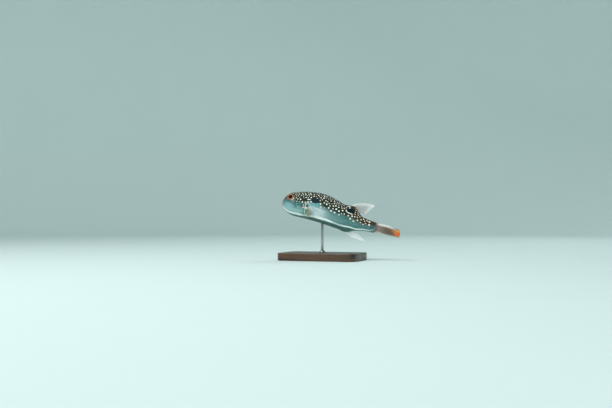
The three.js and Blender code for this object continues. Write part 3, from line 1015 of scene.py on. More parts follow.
@dataclass(frozen=True)
class FinFinish:
    """A thin wet fin: a clear web between paler rays, tinted from root to edge."""

    name: str
    root: str
    web: str
    edge: str
    ray: str
    streak: str
    clear: float
    rays: int
    front: str = "#e8eeea"
    joint: str = "#5d6a66"
    front_share: float = 0.0
    front_clear: float = 1.0
    ray_clear: float = 1.0
    coat: float = 0.3
    specular: float = 0.5

    def colour(self, n: Nodes, marks: bpy.types.Node, across: Feed, along: Feed) -> bpy.types.NodeSocket:
        """The colours of the web and the rays.

        Args:
            n: the maker of the nodes.
            marks: the group of the fin's rays and streaks.
            across: the place across the rays.
            along: the place from root to edge.

        Returns:
            The colour.
        """
        colour = n.lay(tone(self.root), self.web, n.step(along, 0.1, 0.5))
        colour = n.lay(colour, self.streak, n.step(marks.outputs["Streak"], 0.45, 0.68), 0.6)
        colour = n.lay(colour, self.edge, marks.outputs["Edge"], 0.85)
        colour = n.lay(colour, self.front, n.step(across, 0.35, 0.0), self.front_share)
        return n.lay(colour, self.ray, marks.outputs["Ray"], 0.55)

    def material(self, effects: Effects) -> bpy.types.Material:
        """Builds the fin's material.

        Args:
            effects: the shared shader groups.

        Returns:
            The material; it reads the web attribute of the fin.
        """
        material, n, shader = start_material(
            self.name, IOR=1.38, Coat_Weight=self.coat, Coat_Roughness=0.15,
            Specular_IOR_Level=self.specular, Subsurface_Weight=0.1, Subsurface_Radius=(1.0, 0.8, 0.7),
            Subsurface_Scale=0.0006,
        )
        web = n.vector("web")
        across, along, _ = n.parts(web)
        marks = n.group(effects.streaks, {"Web": web, "Rays": float(self.rays)})
        colour = n.lay(self.colour(n, marks, across, along), self.joint, marks.outputs["Joint"], 0.3)
        n.feed(shader.inputs["Base Color"], colour)
        solid = n.sum("MAXIMUM", n.times(marks.outputs["Ray"], self.ray_clear), n.step(along, 0.35, 0.05))
        thin = n.between(n.step(marks.outputs["Streak"], 0.3, 0.7), self.clear, min(self.clear + 0.2, 1.0))
        thin = n.times(thin, n.between(n.step(across, 0.75, 0.25), 1.0, self.front_clear))
        n.feed(shader.inputs["Alpha"], n.between(solid, thin, 1.0))
        n.feed(shader.inputs["Roughness"], n.between(marks.outputs["Streak"], 0.25, 0.5))
        height = n.minus(marks.outputs["Streak"], n.times(marks.outputs["Joint"], 0.6))
        n.feed(shader.inputs["Normal"], n.bump(height, 0.00006, 0.7))
        return material


@dataclass(frozen=True)
class TailFinFinish(FinFinish):
    """The tail fin: pale edges, a dusky middle and an orange end."""

    dusky: str = "#463b31"
    orange_pale: str = "#f59a3c"
    orange_deep: str = "#ee6600"
    skin: str = "#4b4e48"

    def colour(self, n: Nodes, marks: bpy.types.Node, across: Feed, along: Feed) -> bpy.types.NodeSocket:
        """The colours of the web and the rays.

        Args:
            n: the maker of the nodes.
            marks: the group of the fin's rays and streaks.
            across: the place across the rays.
            along: the place from root to edge.

        Returns:
            The colour.
        """
        reach = n.plus(along, n.times(n.minus(marks.outputs["Streak"], 0.5), 0.5))
        colour = n.lay(tone(self.root), self.web, n.step(reach, 0.05, 0.35))
        middle = n.times(n.step(across, 0.12, 0.3), n.step(across, 0.85, 0.55), n.step(reach, 0.2, 0.5))
        colour = n.lay(colour, self.dusky, middle, 0.85)
        body = n.times(n.step(across, 0.1, 0.28), n.step(across, 0.98, 0.84))
        late = n.minus(reach, n.between(n.step(across, 0.3, 0.7), 0.16, 0.0))
        glow = n.times(n.step(late, 0.56, 0.88), body)
        colour = n.lay(colour, self.orange_pale, glow, 0.95)
        deep = n.times(n.step(reach, 0.76, 0.94), n.step(across, 0.1, 0.26), n.step(across, 0.8, 0.5))
        colour = n.lay(colour, self.orange_deep, deep)
        colour = n.lay(colour, self.front, n.step(across, 0.74, 0.88), n.step(reach, 0.95, 0.55), 0.9)
        colour = n.lay(colour, self.edge, n.step(across, 0.18, 0.05), 0.85)
        colour = n.lay(colour, self.skin, n.step(reach, 0.13, 0.02), 0.85)
        return n.lay(colour, self.ray, marks.outputs["Ray"], n.between(glow, 0.4, 0.12))


@dataclass(frozen=True)
class WoodFinish:
    """Oiled dark walnut with its grain along the base."""

    dark: str = "#24160e"
    light: str = "#5a3d28"

    def material(self, effects: Effects) -> bpy.types.Material:
        """Builds the wood's material.

        Args:
            effects: the shared shader groups.

        Returns:
            The material.
        """
        material, n, shader = start_material("oiled_walnut", Coat_Weight=0.25, Coat_Roughness=0.25)
        place = n.object_place()
        long_way = n.stretch(place, (6.0, 60.0, 60.0))
        bend = n.times(n.noise(long_way, 1.2, 3.0), 2.4)
        _, y, z = n.parts(n.stretch(place, (1.0, 260.0, 260.0)))
        rings = n.sum("SINE", n.plus(n.plus(y, z), n.times(bend, 6.0)))
        pores = n.noise(n.stretch(place, (90.0, 2600.0, 2600.0)), 1.0, 2.0, 0.7)
        grain = n.step(rings, -1.0, 1.0)
        colour = n.blend(grain, tone(self.dark), tone(self.light))
        colour = n.lay(colour, self.dark, n.step(pores, 0.55, 0.72), 0.6)
        n.feed(shader.inputs["Base Color"], colour)
        grit = n.group(effects.grit, {"Place": place, "Scale": 900.0})
        n.feed(shader.inputs["Roughness"], n.between(grit.outputs["Drift"], 0.3, 0.5))
        height = n.plus(n.times(grain, 0.3), n.step(pores, 0.72, 0.5))
        n.feed(shader.inputs["Normal"], n.bump(height, 0.00008, 0.5))
        return material


@dataclass(frozen=True)
class SteelFinish:
    """Brushed steel, its lines running round or along the piece."""

    name: str
    colour: str
    shade: str
    lines: tuple[float, float, float]

    def material(self, effects: Effects) -> bpy.types.Material:
        """Builds the steel's material.

        Args:
            effects: the shared shader groups.

        Returns:
            The material.
        """
        material, n, shader = start_material(self.name, Metallic=1.0)
        place = n.object_place()
        brushed = n.noise(n.stretch(place, self.lines), 1.0, 2.0, 0.7)
        grit = n.group(effects.grit, {"Place": place, "Scale": 700.0})
        colour = n.blend(grit.outputs["Drift"], tone(self.colour), tone(self.shade))
        n.feed(shader.inputs["Base Color"], colour)
        n.feed(shader.inputs["Roughness"], n.between(brushed, 0.2, 0.42))
        n.feed(shader.inputs["Normal"], n.bump(brushed, 0.00003, 0.5))
        return material


@dataclass(frozen=True)
class FloorFinish:
    """Matt pale paper for the floor and the wall behind."""

    colour: str = "#dcecea"
    shade: str = "#c4dad8"

    def material(self, effects: Effects) -> bpy.types.Material:
        """Builds the paper's material.

        Args:
            effects: the shared shader groups.

        Returns:
            The material.
        """
        material, n, shader = start_material("pale_paper", Specular_IOR_Level=0.2)
        grit = n.group(effects.grit, {"Place": n.object_place(), "Scale": 60.0})
        colour = n.lay(tone(self.colour), self.shade, grit.outputs["Drift"], 0.12)
        n.feed(shader.inputs["Base Color"], colour)
        n.feed(shader.inputs["Roughness"], n.between(grit.outputs["Height"], 0.75, 0.9))
        return material


# ---- The skin ----


@dataclass(frozen=True)
class Gill:
    """The gill slit in front of each pectoral fin, in millimetres of the straight body."""

    x: float = 35.1
    bow: float = 0.03
    middle: float = -3.0
    low: float = -8.2
    high: float = 2.2
    depth: float = 1.0
    width: float = 0.24
    flap: float = 0.36

    def distance(self, x: np.ndarray, z: np.ndarray) -> np.ndarray:
        """How far behind the slit a point is."""
        return x - self.x - self.bow * (z - self.middle) ** 2

    def along(self, z: np.ndarray) -> np.ndarray:
        """1 along the slit, fading to 0 past its ends."""
        return window(z, (self.low, self.low + 1.3), (self.high - 1.3, self.high))


@dataclass(frozen=True)
class Mouth:
    """Two fleshy lips that meet in a slit, in millimetres."""

    reach: float = 3.7
    rise: float = 1.32
    droop: float = 0.6
    back: float = 1.9
    front: float = 0.37
    radius: float = 1.1
    slit: float = 1.3
    slit_width: float = 0.2
    furrow: float = 0.045
    blend: float = 0.22

    def lips(self, y: np.ndarray, z: np.ndarray) -> tuple[np.ndarray, np.ndarray]:
        """How far forwards the lips stand.

        Args:
            y: distances to the fish's right.
            z: heights above the long axis.

        Returns:
            The x of the lips' surface, far back where there is none, and 1 on the lips.
        """
        q = np.clip(y / self.reach, -1, 1)
        rise = self.rise * (1 - self.droop * q * q)
        radius = self.radius * np.sqrt(np.maximum(0, 1 - q**4))
        radius = radius * (1 + self.furrow * np.sin(24 * q + 2 * np.sign(z)))
        inside = radius**2 - (np.abs(z) - rise) ** 2
        surface = self.front + self.back * q * q - np.sqrt(np.maximum(inside, 0))
        on_lip = smooth(inside, 0.0, 0.25) * (np.abs(y) < self.reach)
        return np.where((inside > 0) & (np.abs(y) < self.reach), surface, FAR), on_lip

    def opening(self, y: np.ndarray, z: np.ndarray) -> np.ndarray:
        """1 in the slit between the lips, fading to its ends and edges."""
        return bell(z, self.slit_width) * np.sqrt(np.maximum(0, 1 - (y / self.reach) ** 2))


@dataclass(frozen=True)
class Nostril:
    """A low tube with two openings, in millimetres of the straight body."""

    x: float = 5.3
    z: float = 3.7
    apart: float = 0.46
    oval: float = 1.25
    height: float = 0.5
    radius: float = 0.75
    depth: float = 0.6

    def openings(self, x: np.ndarray, z: np.ndarray, width: float) -> list[np.ndarray]:
        """1 in each of the two openings, falling off over that width."""
        pits = (-self.apart, self.apart)
        return [bell(np.hypot(x - self.x - pit, z - self.z), width) for pit in pits]


@dataclass(frozen=True)
class Blotch:
    """A dark blotch as an ellipse on the skin: place along and round, radii and slant."""

    along: float
    round_it: float
    long_radius: float
    short_radius: float
    slant: float

    def distance(self, along: np.ndarray, round_it: np.ndarray) -> np.ndarray:
        """How far points are from the blotch.

        Args:
            along: places along the body.
            round_it: places round it, from the middle of the back.

        Returns:
            Millimetres outside the ellipse's edge, less than 0 inside.
        """
        turn = math.radians(self.slant)
        ahead, down = along - self.along, round_it - self.round_it
        u = (ahead * math.cos(turn) + down * math.sin(turn)) / self.long_radius
        v = (down * math.cos(turn) - ahead * math.sin(turn)) / self.short_radius
        return (np.hypot(u, v) - 1) * self.short_radius

    def crescent(
        self, along: np.ndarray, round_it: np.ndarray, gap: float, half: float, way: tuple[float, float]
    ) -> np.ndarray:
        """How far points are from a crescent on one side of the blotch.

        Args:
            along: places along the body.
            round_it: places round it, from the middle of the back.
            gap: how far off the ellipse the crescent's middle lies.
            half: half of its greatest width.
            way: the side, as a direction along and round.

        Returns:
            Millimetres outside it, less than 0 inside.
        """
        off = np.stack([along - self.along, round_it - self.round_it], axis=-1)
        toward = unit(off) @ unit(np.array(way))
        across = np.abs(self.distance(along, round_it) - gap)
        return across - half * smooth(toward, 0.2, 0.9) + 3 * (toward < 0.2)


@dataclass(frozen=True)
class SkinGrid:
    """The smooth body as rings of points from snout to tail root, in millimetres."""

    at: np.ndarray
    point: np.ndarray
    out: np.ndarray
    arc: np.ndarray


@dataclass
class Skin:
    """One skin over head, trunk, tail stalk and lips, with its folds, pits and markings."""

    form: BodyForm
    pose: Pose
    rings: int = 300
    sides: int = 320
    inside: float = 0.2
    tail_taper: float = 0.62
    gill: Gill = Gill()
    mouth: Mouth = Mouth()
    nostril: Nostril = Nostril()
    pad: tuple[float, float] = (38.4, -3.0)
    side_from: tuple[float, float] = (3.0, 5.0)
    taper_from: float = 0.93
    spots_to: float = 0.93
    mouth_to: float = 6.0
    eyelid: tuple[float, float, float] = (1.0, 1.0, 0.97)
    ring_height: float = 0.85
    band: Course = (
        (0.0, -3.0), (0.02, -2.0), (0.035, 0.6), (0.06, 4.6), (0.08, 6.4), (0.115, 6.2), (0.15, 5.0),
        (0.186, 4.8), (0.282, 5.2), (0.35, 8.4), (0.4, 9.0), (0.458, 7.6), (0.544, 5.2), (0.615, 3.8),
        (0.7, 3.7), (0.786, 1.9), (0.871, -0.8), (0.93, -0.2), (1.0, 2.0),
    )
    blotches: tuple[Blotch, ...] = (
        Blotch(43.8, 19.1, 3.9, 2.1, 69.0),
        Blotch(47.3, 19.4, 3.9, 3.1, -12.0),
        Blotch(87.9, 8.3, 4.3, 3.0, -20.0),
    )
    dashes: tuple[Blotch, ...] = (Blotch(38.1, 19.2, 2.3, 0.6, -4.0), Blotch(83.4, 3.3, 2.6, 0.55, 0.0))
    seed: int = 11
    tries: int = 16000
    # where along the body the painted highlight over the white fold edge is wide, strong and raised
    highlight_width: Course = (
        (0.0, 1.2), (0.05, 2.0), (0.25, 2.0), (0.36, 1.2), (0.43, 3.0), (0.52, 2.4), (0.6, 0.9),
        (0.75, 0.8), (1.0, 0.7),
    )
    highlight_share: Course = (
        (0.0, 0.3), (0.04, 0.7), (0.25, 0.8), (0.29, 0.35), (0.36, 0.15), (0.4, 0.6), (0.43, 1.0),
        (0.57, 1.0), (0.62, 0.55), (0.66, 0.5), (0.7, 0.9), (0.79, 0.9), (0.88, 0.8), (0.97, 0.3),
        (1.0, 0.0),
    )
    highlight_lift: Course = (
        (0.05, 0.3), (0.3, 0.4), (0.43, 1.1), (0.7, 0.9), (0.82, 0.7), (0.9, 1.2), (1.0, 1.3),
    )

    def grid(self) -> SkinGrid:
        """Lays the rings, closer together on the head and at the gills.

        Returns:
            The smooth body.
        """
        fine = (1 - np.cos(np.linspace(0, math.pi, 4001))) / 2
        flank = self.form.surface(fine, math.radians(70))
        steps = np.linalg.norm(np.diff(flank, axis=0), axis=1)
        middle = (fine[1:] + fine[:-1]) / 2
        crowd = 1 + 0.9 * (1 - smooth(middle, 0.2, 0.3)) + 1.6 * (1 - smooth(middle, 0, 0.06))
        crowd = crowd + 0.9 * bell(middle - self.gill.x / self.form.length, 0.025)
        run = np.concatenate([[0], np.cumsum(steps * crowd)])
        at = np.interp(np.linspace(0, run[-1], self.rings + 1), run, fine)

        turns = np.linspace(0, math.pi, 721)
        half = self.form.surface(at[:, None], turns[None, :])
        arcs = np.cumsum(np.linalg.norm(np.diff(half, axis=1), axis=2), axis=1)
        arcs = np.concatenate([np.zeros((len(at), 1)), arcs], axis=1)
        shares = np.linspace(0, 1, self.sides // 2 + 1)
        arc = arcs[:, -1:] * shares
        turn = np.array([np.interp(a, row, turns) for a, row in zip(arc, arcs)])
        turn[0], turn[-1] = turn[1], turn[-2]
        turn = np.concatenate([turn, 2 * math.pi - turn[:, -2:0:-1]], axis=1)
        arc = np.concatenate([arc, -arc[:, -2:0:-1]], axis=1)

        point = self.form.surface(at[:, None], turn)
        ahead = np.gradient(point, axis=0)
        aside = np.roll(point, -1, axis=1) - np.roll(point, 1, axis=1)
        out = unit(np.cross(aside, ahead))
        if np.sum(out[..., 1] * point[..., 1]) < 0:
            out = -out
        out[0], out[-1] = (-1, 0, 0), (1, 0, 0)
        return SkinGrid(at[:, None] + 0 * arc, point, out, arc)

    def on_side(self, g: SkinGrid) -> np.ndarray:
        """1 on the flanks, 0 near the middle plane."""
        return smooth(np.abs(g.point[..., 1]), *self.side_from)

    def fold_distance(self, g: SkinGrid) -> np.ndarray:
        """Measures round the body from the fold of skin.

        Args:
            g: the smooth body.

        Returns:
            How far below the fold each point lies.
        """
        turn = self.form.fold_turn(g.at[:, 0])
        on_fold = self.form.surface(g.at[:, 0], turn)
        half = self.sides // 2 + 1
        right = g.point[:, :half]
        nearest = np.argmin(np.linalg.norm(right - on_fold[:, None], axis=2), axis=1)
        before = np.take_along_axis(g.arc[:, :half], nearest[:, None], axis=1)[:, 0]
        smoothed = np.convolve(np.pad(before, 9, mode="edge"), np.ones(19) / 19, mode="valid")
        return np.abs(g.arc) - smoothed[:, None]

    def relief(self, g: SkinGrid, fold: np.ndarray) -> np.ndarray:
        """How far each point stands out from the smooth body.

        Args:
            g: the smooth body.
            fold: distance below the fold of skin.

        Returns:
            Millimetres along the normal.
        """
        x, y, z = np.moveaxis(g.point, -1, 0)
        on_side = self.on_side(g)
        grown = smooth(g.at, 0.05, 0.2) * (1 - smooth(g.at, 0.93, 0.99))
        height = 0.55 * bell(fold, 0.8) - 0.3 * bell(fold + 2.3, 1.5) - 0.12 * bell(fold - 1.8, 0.9)
        height = height * grown
        ribs = np.sin(4.4 * x + 0.5 * np.sin(x)) * bell(fold + 0.4, 1.0)
        height += 0.07 * ribs * window(g.at, (0.07, 0.11), (0.25, 0.28))
        pleats = np.sin(4.3 * fold + 1.4 * np.sin(x / 8) + 0.6 * np.sin(x / 2.9))
        low = smooth(fold, 1.2, 3.5) * smooth(np.abs(y), 0.2, 3.0)
        height += 0.07 * pleats * low * window(g.at, (0.1, 0.25), (0.6, 0.7))

        behind, slit = self.gill.distance(x, z), self.gill.along(z) * on_side
        height -= self.gill.depth * bell(behind, self.gill.width) * slit
        height += self.gill.flap * bell(behind + 1.0, 0.85) * slit
        height += 0.25 * bell(x - self.gill.x + 8, 5) * bell(z - 0.5, 4.5)
        pad_x, pad_z = self.pad
        height += 0.5 * bell(x - pad_x, 1.6) * np.exp(-(((z - pad_z) / 4.3) ** 4)) * on_side

        nose = self.nostril
        from_nose = np.hypot((x - nose.x) / nose.oval, z - nose.z)
        height += nose.height * np.exp(-((from_nose / nose.radius) ** 4)) * on_side
        for opening in nose.openings(x, z, 0.22):
            height -= nose.depth * opening * on_side
        height -= 0.14 * bell(x - 3.9, 0.7) * (1 - smooth(np.abs(z), 3.0, 5.0))
        height -= 0.1 * bell(x - 9.5 - 0.1 * z, 0.9) * window(z, (-7.0, -4.0), (-1.0, 1.5)) * on_side
        waves = np.sin(x / 3.1 + g.arc / 4.3) + np.sin(x / 5.2 - g.arc / 3.3 + 1.7)
        waves = waves + np.sin(g.arc / 2.3 + x / 9.0)
        height += 0.045 * waves * smooth(g.at, 0.02, 0.1)
        line = 9.5 - 0.055 * x - 2.5 * bell(x - 20, 9)
        height += 0.06 * bell(z - line, 0.28) * window(g.at, (0.16, 0.22), (0.9, 0.97))
        return height - self.inside

    def socket(self, g: SkinGrid, side: Side) -> tuple[np.ndarray, np.ndarray]:
        """The dip and the rim round an eye.

        Args:
            g: the smooth body.
            side: which eye.

        Returns:
            The moves of all points in millimetres, and their distance from the eye's axis.
        """
        centre, gaze = self.form.eye_frame(side)
        offset = g.point - centre
        height = offset @ gaze
        radius = np.linalg.norm((offset - height[..., None] * gaze) * self.eyelid, axis=2)
        radius = np.where(height > -2, radius, FAR)
        push = 0.24 * bell(radius - 3.85, 0.36) - 0.16 * bell(radius - 5.0, 0.55)
        push = push + np.clip(self.ring_height - height, -1.2, 0.5) * (1 - smooth(radius, 3.9, 7.0))
        push = push - 1.9 * (1 - smooth(radius, 3.1, 3.6))
        return push[..., None] * gaze, radius

    def pale_marks(self, g: SkinGrid, eye_radius: np.ndarray) -> np.ndarray:
        """Measures from the long pale marks by the blotches and behind the eye.

        Args:
            g: the smooth body.
            eye_radius: distance from the nearer eye's axis.

        Returns:
            Millimetres outside the nearest mark, less than 0 inside one.
        """
        x, round_it = g.point[..., 0], np.abs(g.arc)
        marks = [dash.distance(x, round_it) for dash in self.dashes]
        marks.append(self.blotches[-1].crescent(x, round_it, 1.0, 0.55, (-0.3, 1.0)))
        eye = self.form.eye
        behind, above = x - eye.at * self.form.length, g.point[..., 2] - eye.up * self.form.length
        toward = (0.95 * behind - 0.3 * above) / np.maximum(np.hypot(behind, above), 1e-6)
        half = 0.6 * smooth(toward, 0.75, 0.97)
        marks.append(np.where(toward > 0.75, np.abs(eye_radius - 4.9) - half, FAR))
        return np.minimum.reduce(marks)

    def dots(self, g: SkinGrid, band: np.ndarray, free: np.ndarray) -> np.ndarray:
        """Scatters round pale spots over the back, closer together towards its middle line.

        Args:
            g: the smooth body.
            band: height above the lower limit of the dark back.
            free: where a spot may be.

        Returns:
            Millimetres outside the nearest spot, less than 0 inside one.
        """
        draw = np.random.default_rng(self.seed)
        ahead = np.linalg.norm(np.gradient(g.point, axis=0), axis=2)
        aside = np.linalg.norm(np.roll(g.point, -1, axis=1) - g.point, axis=2)
        along = g.point[..., 0]
        limit = 1.1 * np.sin(along / 1.9) + 0.9 * np.sin(along / 3.3 + 1) - 1.2
        area = (ahead * aside * (band > limit) * free).ravel()
        picks = draw.choice(area.size, self.tries, replace=False, p=area / area.sum())
        low = 1 - smooth(band, 1.0, 8.0)
        head = 1 - smooth(g.at, 0.13, 0.3)
        apart = 2.45 + 0.85 * low * (1 - head) - 0.2 * head
        size = (0.285 * apart * (1 - 0.4 * low * head)).ravel()
        apart = apart.ravel()
        grow = draw.uniform(0.8, 1.2, self.tries)
        places = g.point.reshape(-1, 3)
        centres, radii, gaps = np.empty((0, 3)), np.empty(0), np.empty(0)
        for pick, factor in zip(picks, grow):
            space = apart[pick] * (0.5 + 0.5 * factor)
            far = np.linalg.norm(centres - places[pick], axis=1)
            if np.all(far > (gaps + space) / 2):
                centres = np.vstack([centres, places[pick]])
                radii = np.append(radii, size[pick] * factor**1.4)
                gaps = np.append(gaps, space)
        LOG.info("%d pale spots", len(radii))
        tree = kdtree.KDTree(len(radii))
        for index, centre in enumerate(centres):
            tree.insert(centre, index)
        tree.balance()
        nearest = [min(far - radii[i] for _, i, far in tree.find_n(p, 3)) for p in places.tolist()]
        return np.reshape(nearest, g.arc.shape)

    def ball(self) -> tuple[bmesh.types.BMesh, np.ndarray, np.ndarray]:
        """Closes a sheet into a ball.

        Returns:
            The ball, and the ring and the place round it of each vertex.
        """
        bm = bmesh.new()
        bmesh.ops.create_grid(bm, x_segments=self.sides, y_segments=self.rings, size=0.5)
        flat = vertices_of(bm)[:, :2] + 0.5
        turn, down = flat[:, 0] * 2 * math.pi, flat[:, 1] * math.pi
        around = np.stack([np.cos(turn), np.sin(turn)], axis=-1) * np.sin(down)[:, None]
        place_vertices(bm, np.concatenate([around, np.cos(down)[:, None]], axis=1))
        bmesh.ops.remove_doubles(bm, verts=bm.verts[:], dist=1e-6)
        ball = vertices_of(bm)
        ring = np.rint(np.arccos(np.clip(ball[:, 2], -1, 1)) / math.pi * self.rings).astype(int)
        place = np.rint(np.arctan2(ball[:, 1], ball[:, 0]) / (2 * math.pi) * self.sides).astype(int)
        return bm, ring, place % self.sides

    def flesh(self, g: SkinGrid, fold: np.ndarray) -> tuple[np.ndarray, np.ndarray]:
        """Raises the relief and the eyes' sockets and narrows the tail root.

        Args:
            g: the smooth body.
            fold: distance below the fold of skin.

        Returns:
            The points, and each one's distance from the nearer eye's axis.
        """
        point = g.point + self.relief(g, fold)[..., None] * g.out
        eye_radius = np.full(g.arc.shape, FAR)
        for side in Side:
            move, radius = self.socket(g, side)
            point = point + move
            eye_radius = np.minimum(eye_radius, radius)
        point[..., 1] *= 1 - self.tail_taper * smooth(g.at, self.taper_from, 1.0)
        return point, eye_radius

    def join_lips(self, g: SkinGrid, point: np.ndarray) -> tuple[np.ndarray, np.ndarray]:
        """Joins the lips to the snout, with a slit between them.

        Args:
            g: the smooth body.
            point: the shaped points, which it moves.

        Returns:
            1 on the lips, and 1 in the slit.
        """
        mouth, front = self.mouth, g.point[..., 0] < self.mouth_to
        y, z = g.point[..., 1], g.point[..., 2]
        lips, on_lip = mouth.lips(y, z)
        slit = mouth.opening(y, z) * front
        x = point[..., 0] + mouth.slit * slit
        near = np.clip(0.5 + 0.5 * (x - lips) / mouth.blend, 0, 1)
        joined = lerp(x, lips, near) - mouth.blend * near * (1 - near)
        point[..., 0] = np.where(front, joined, point[..., 0])
        return on_lip * front, slit

    def tints(
        self, g: SkinGrid, eye_radius: np.ndarray, on_lip: np.ndarray, slit: np.ndarray
    ) -> dict[str, np.ndarray]:
        """Finds the hollows, painted dark with shade, and the bare rosy skin.

        Args:
            g: the smooth body.
            eye_radius: distance from the nearer eye's axis.
            on_lip: 1 on the lips.
            slit: 1 in the slit of the mouth.

        Returns:
            Both, by the names that the finish reads.
        """
        x, z, on_side = g.point[..., 0], g.point[..., 2], self.on_side(g)
        behind, gill = self.gill.distance(x, z), self.gill.along(z) * on_side
        # painted shade: the slit of the mouth, the gill slits, the nostrils' openings and a ring where the
        # skin meets the eyeball
        hollow = slit + gill * bell(behind, 0.26) + sum(self.nostril.openings(x, z, 0.26)) * on_side
        hollow = hollow + 0.6 * (1 - smooth(eye_radius, 3.3, 3.75))
        rosy = 0.75 * on_lip + 0.25 * gill * bell(behind - 0.75, 0.5) + 0.5 * bell(eye_radius - 3.95, 0.4)
        from_nose = np.hypot(x - self.nostril.x, z - self.nostril.z)
        return {"hollow": hollow, "rosy": rosy + 0.7 * bell(from_nose, 0.9) * on_side}

    def markings(
        self, g: SkinGrid, fold: np.ndarray, eye_radius: np.ndarray, on_lip: np.ndarray
    ) -> dict[str, np.ndarray]:
        """Finds the dark back, the blotches, the pale spots, and the white edge along the fold with a
        highlight painted over it.

        Args:
            g: the smooth body.
            fold: distance below the fold of skin.
            eye_radius: distance from the nearer eye's axis.
            on_lip: 1 on the lips.

        Returns:
            Each of them, by the names that the finish reads.
        """
        x, round_it = g.point[..., 0], np.abs(g.arc)
        band = g.point[..., 2] - follow(self.band, g.at)
        blotch = np.minimum.reduce([b.distance(x, round_it) for b in self.blotches])
        marks = self.pale_marks(g, eye_radius)
        free = (blotch > 0.7) & (marks > 1.4) & (eye_radius > 4.4) & (on_lip <= 0.1)
        dot = np.minimum(self.dots(g, band, free & (g.at < self.spots_to)), marks)
        # a white band along the fold: the belly's white edge with a painted highlight on it
        under = fold + follow(self.highlight_lift, g.at)
        shine = smooth(under / follow(self.highlight_width, g.at), -1.5, -0.5)
        shine = shine * (1 - smooth(under, 0.1, 0.8)) * follow(self.highlight_share, g.at)
        return {"band": band, "blotch": blotch, "dot": dot, "fold": fold, "shine": shine}

    def build(self) -> bpy.types.Object:
        """Shapes the skin and paints what its finish reads.

        Returns:
            The skin.
        """
        g = self.grid()
        fold = self.fold_distance(g)
        point, eye_radius = self.flesh(g, fold)
        on_lip, slit = self.join_lips(g, point)
        painted = self.markings(g, fold, eye_radius, on_lip)
        painted.update(self.tints(g, eye_radius, on_lip, slit))
        bm, ring, place = self.ball()
        place_vertices(bm, self.pose.swim(point[ring, place]))
        made = finished(bm, "puffer_skin")
        lie = np.stack([g.point[..., 0], g.arc, g.point[..., 2]], axis=-1)
        paint(made, "lie", lie[ring, place])
        for name, values in painted.items():
            paint(made, name, np.clip(values, -PAINTED, PAINTED)[ring, place])
        return made


# ---- Eyes ----


@dataclass
class Eye:
    """One eyeball with a slightly swollen cornea; it glances back and down by a few degrees."""

    form: BodyForm
    pose: Pose
    side: Side
    across: int = 64
    along: int = 40
    back: float = 10.0
    down: float = 6.0
    sunk: tuple[float, float] = (0.05, 0.12)
    cornea: float = 0.04

    def glance(self, ball: np.ndarray) -> np.ndarray:
        """Swivels the eye.

        Args:
            ball: points of the unit ball, as (ahead, up, out) of the socket.

        Returns:
            The same points as the swivelled eye counts them.
        """
        back, down = math.radians(self.back), math.radians(self.down)
        ahead = ball[:, 0] * math.cos(back) + ball[:, 2] * math.sin(back)
        out = ball[:, 2] * math.cos(back) - ball[:, 0] * math.sin(back)
        up = ball[:, 1] * math.cos(down) + out * math.sin(down)
        return np.stack([ahead, up, out * math.cos(down) - ball[:, 1] * math.sin(down)], axis=-1)

    def build(self) -> bpy.types.Object:
        """Shapes the ball and paints where each point lies as the eye looks.

        Returns:
            The eyeball.
        """
        sizes = self.form.eye
        centre, gaze = self.form.eye_frame(self.side)
        ahead = np.array([-1.0, 0.0, 0.0])
        up = np.cross(gaze, ahead) * self.side.value
        bm = bmesh.new()
        bmesh.ops.create_uvsphere(bm, u_segments=self.across, v_segments=self.along, radius=1.0)
        ball = vertices_of(bm)
        radius, depth = sizes.radius - self.sunk[0], sizes.depth - self.sunk[1]
        seen = self.glance(ball)
        bulge = 1 + self.cornea * bell(np.hypot(seen[:, 0], seen[:, 1]), 0.5) * (seen[:, 2] > 0)
        flat = ball * np.array([radius, radius, depth])
        place = flat[:, :1] * ahead + flat[:, 1:2] * up + (flat[:, 2] * bulge)[:, None] * gaze
        place_vertices(bm, self.pose.swim(centre + place))
        made = finished(bm, f"eyeball_{self.side.name.lower()}")
        paint(made, "gaze", seen * np.array([radius, radius, depth]))
        return made


# ---- Fins ----


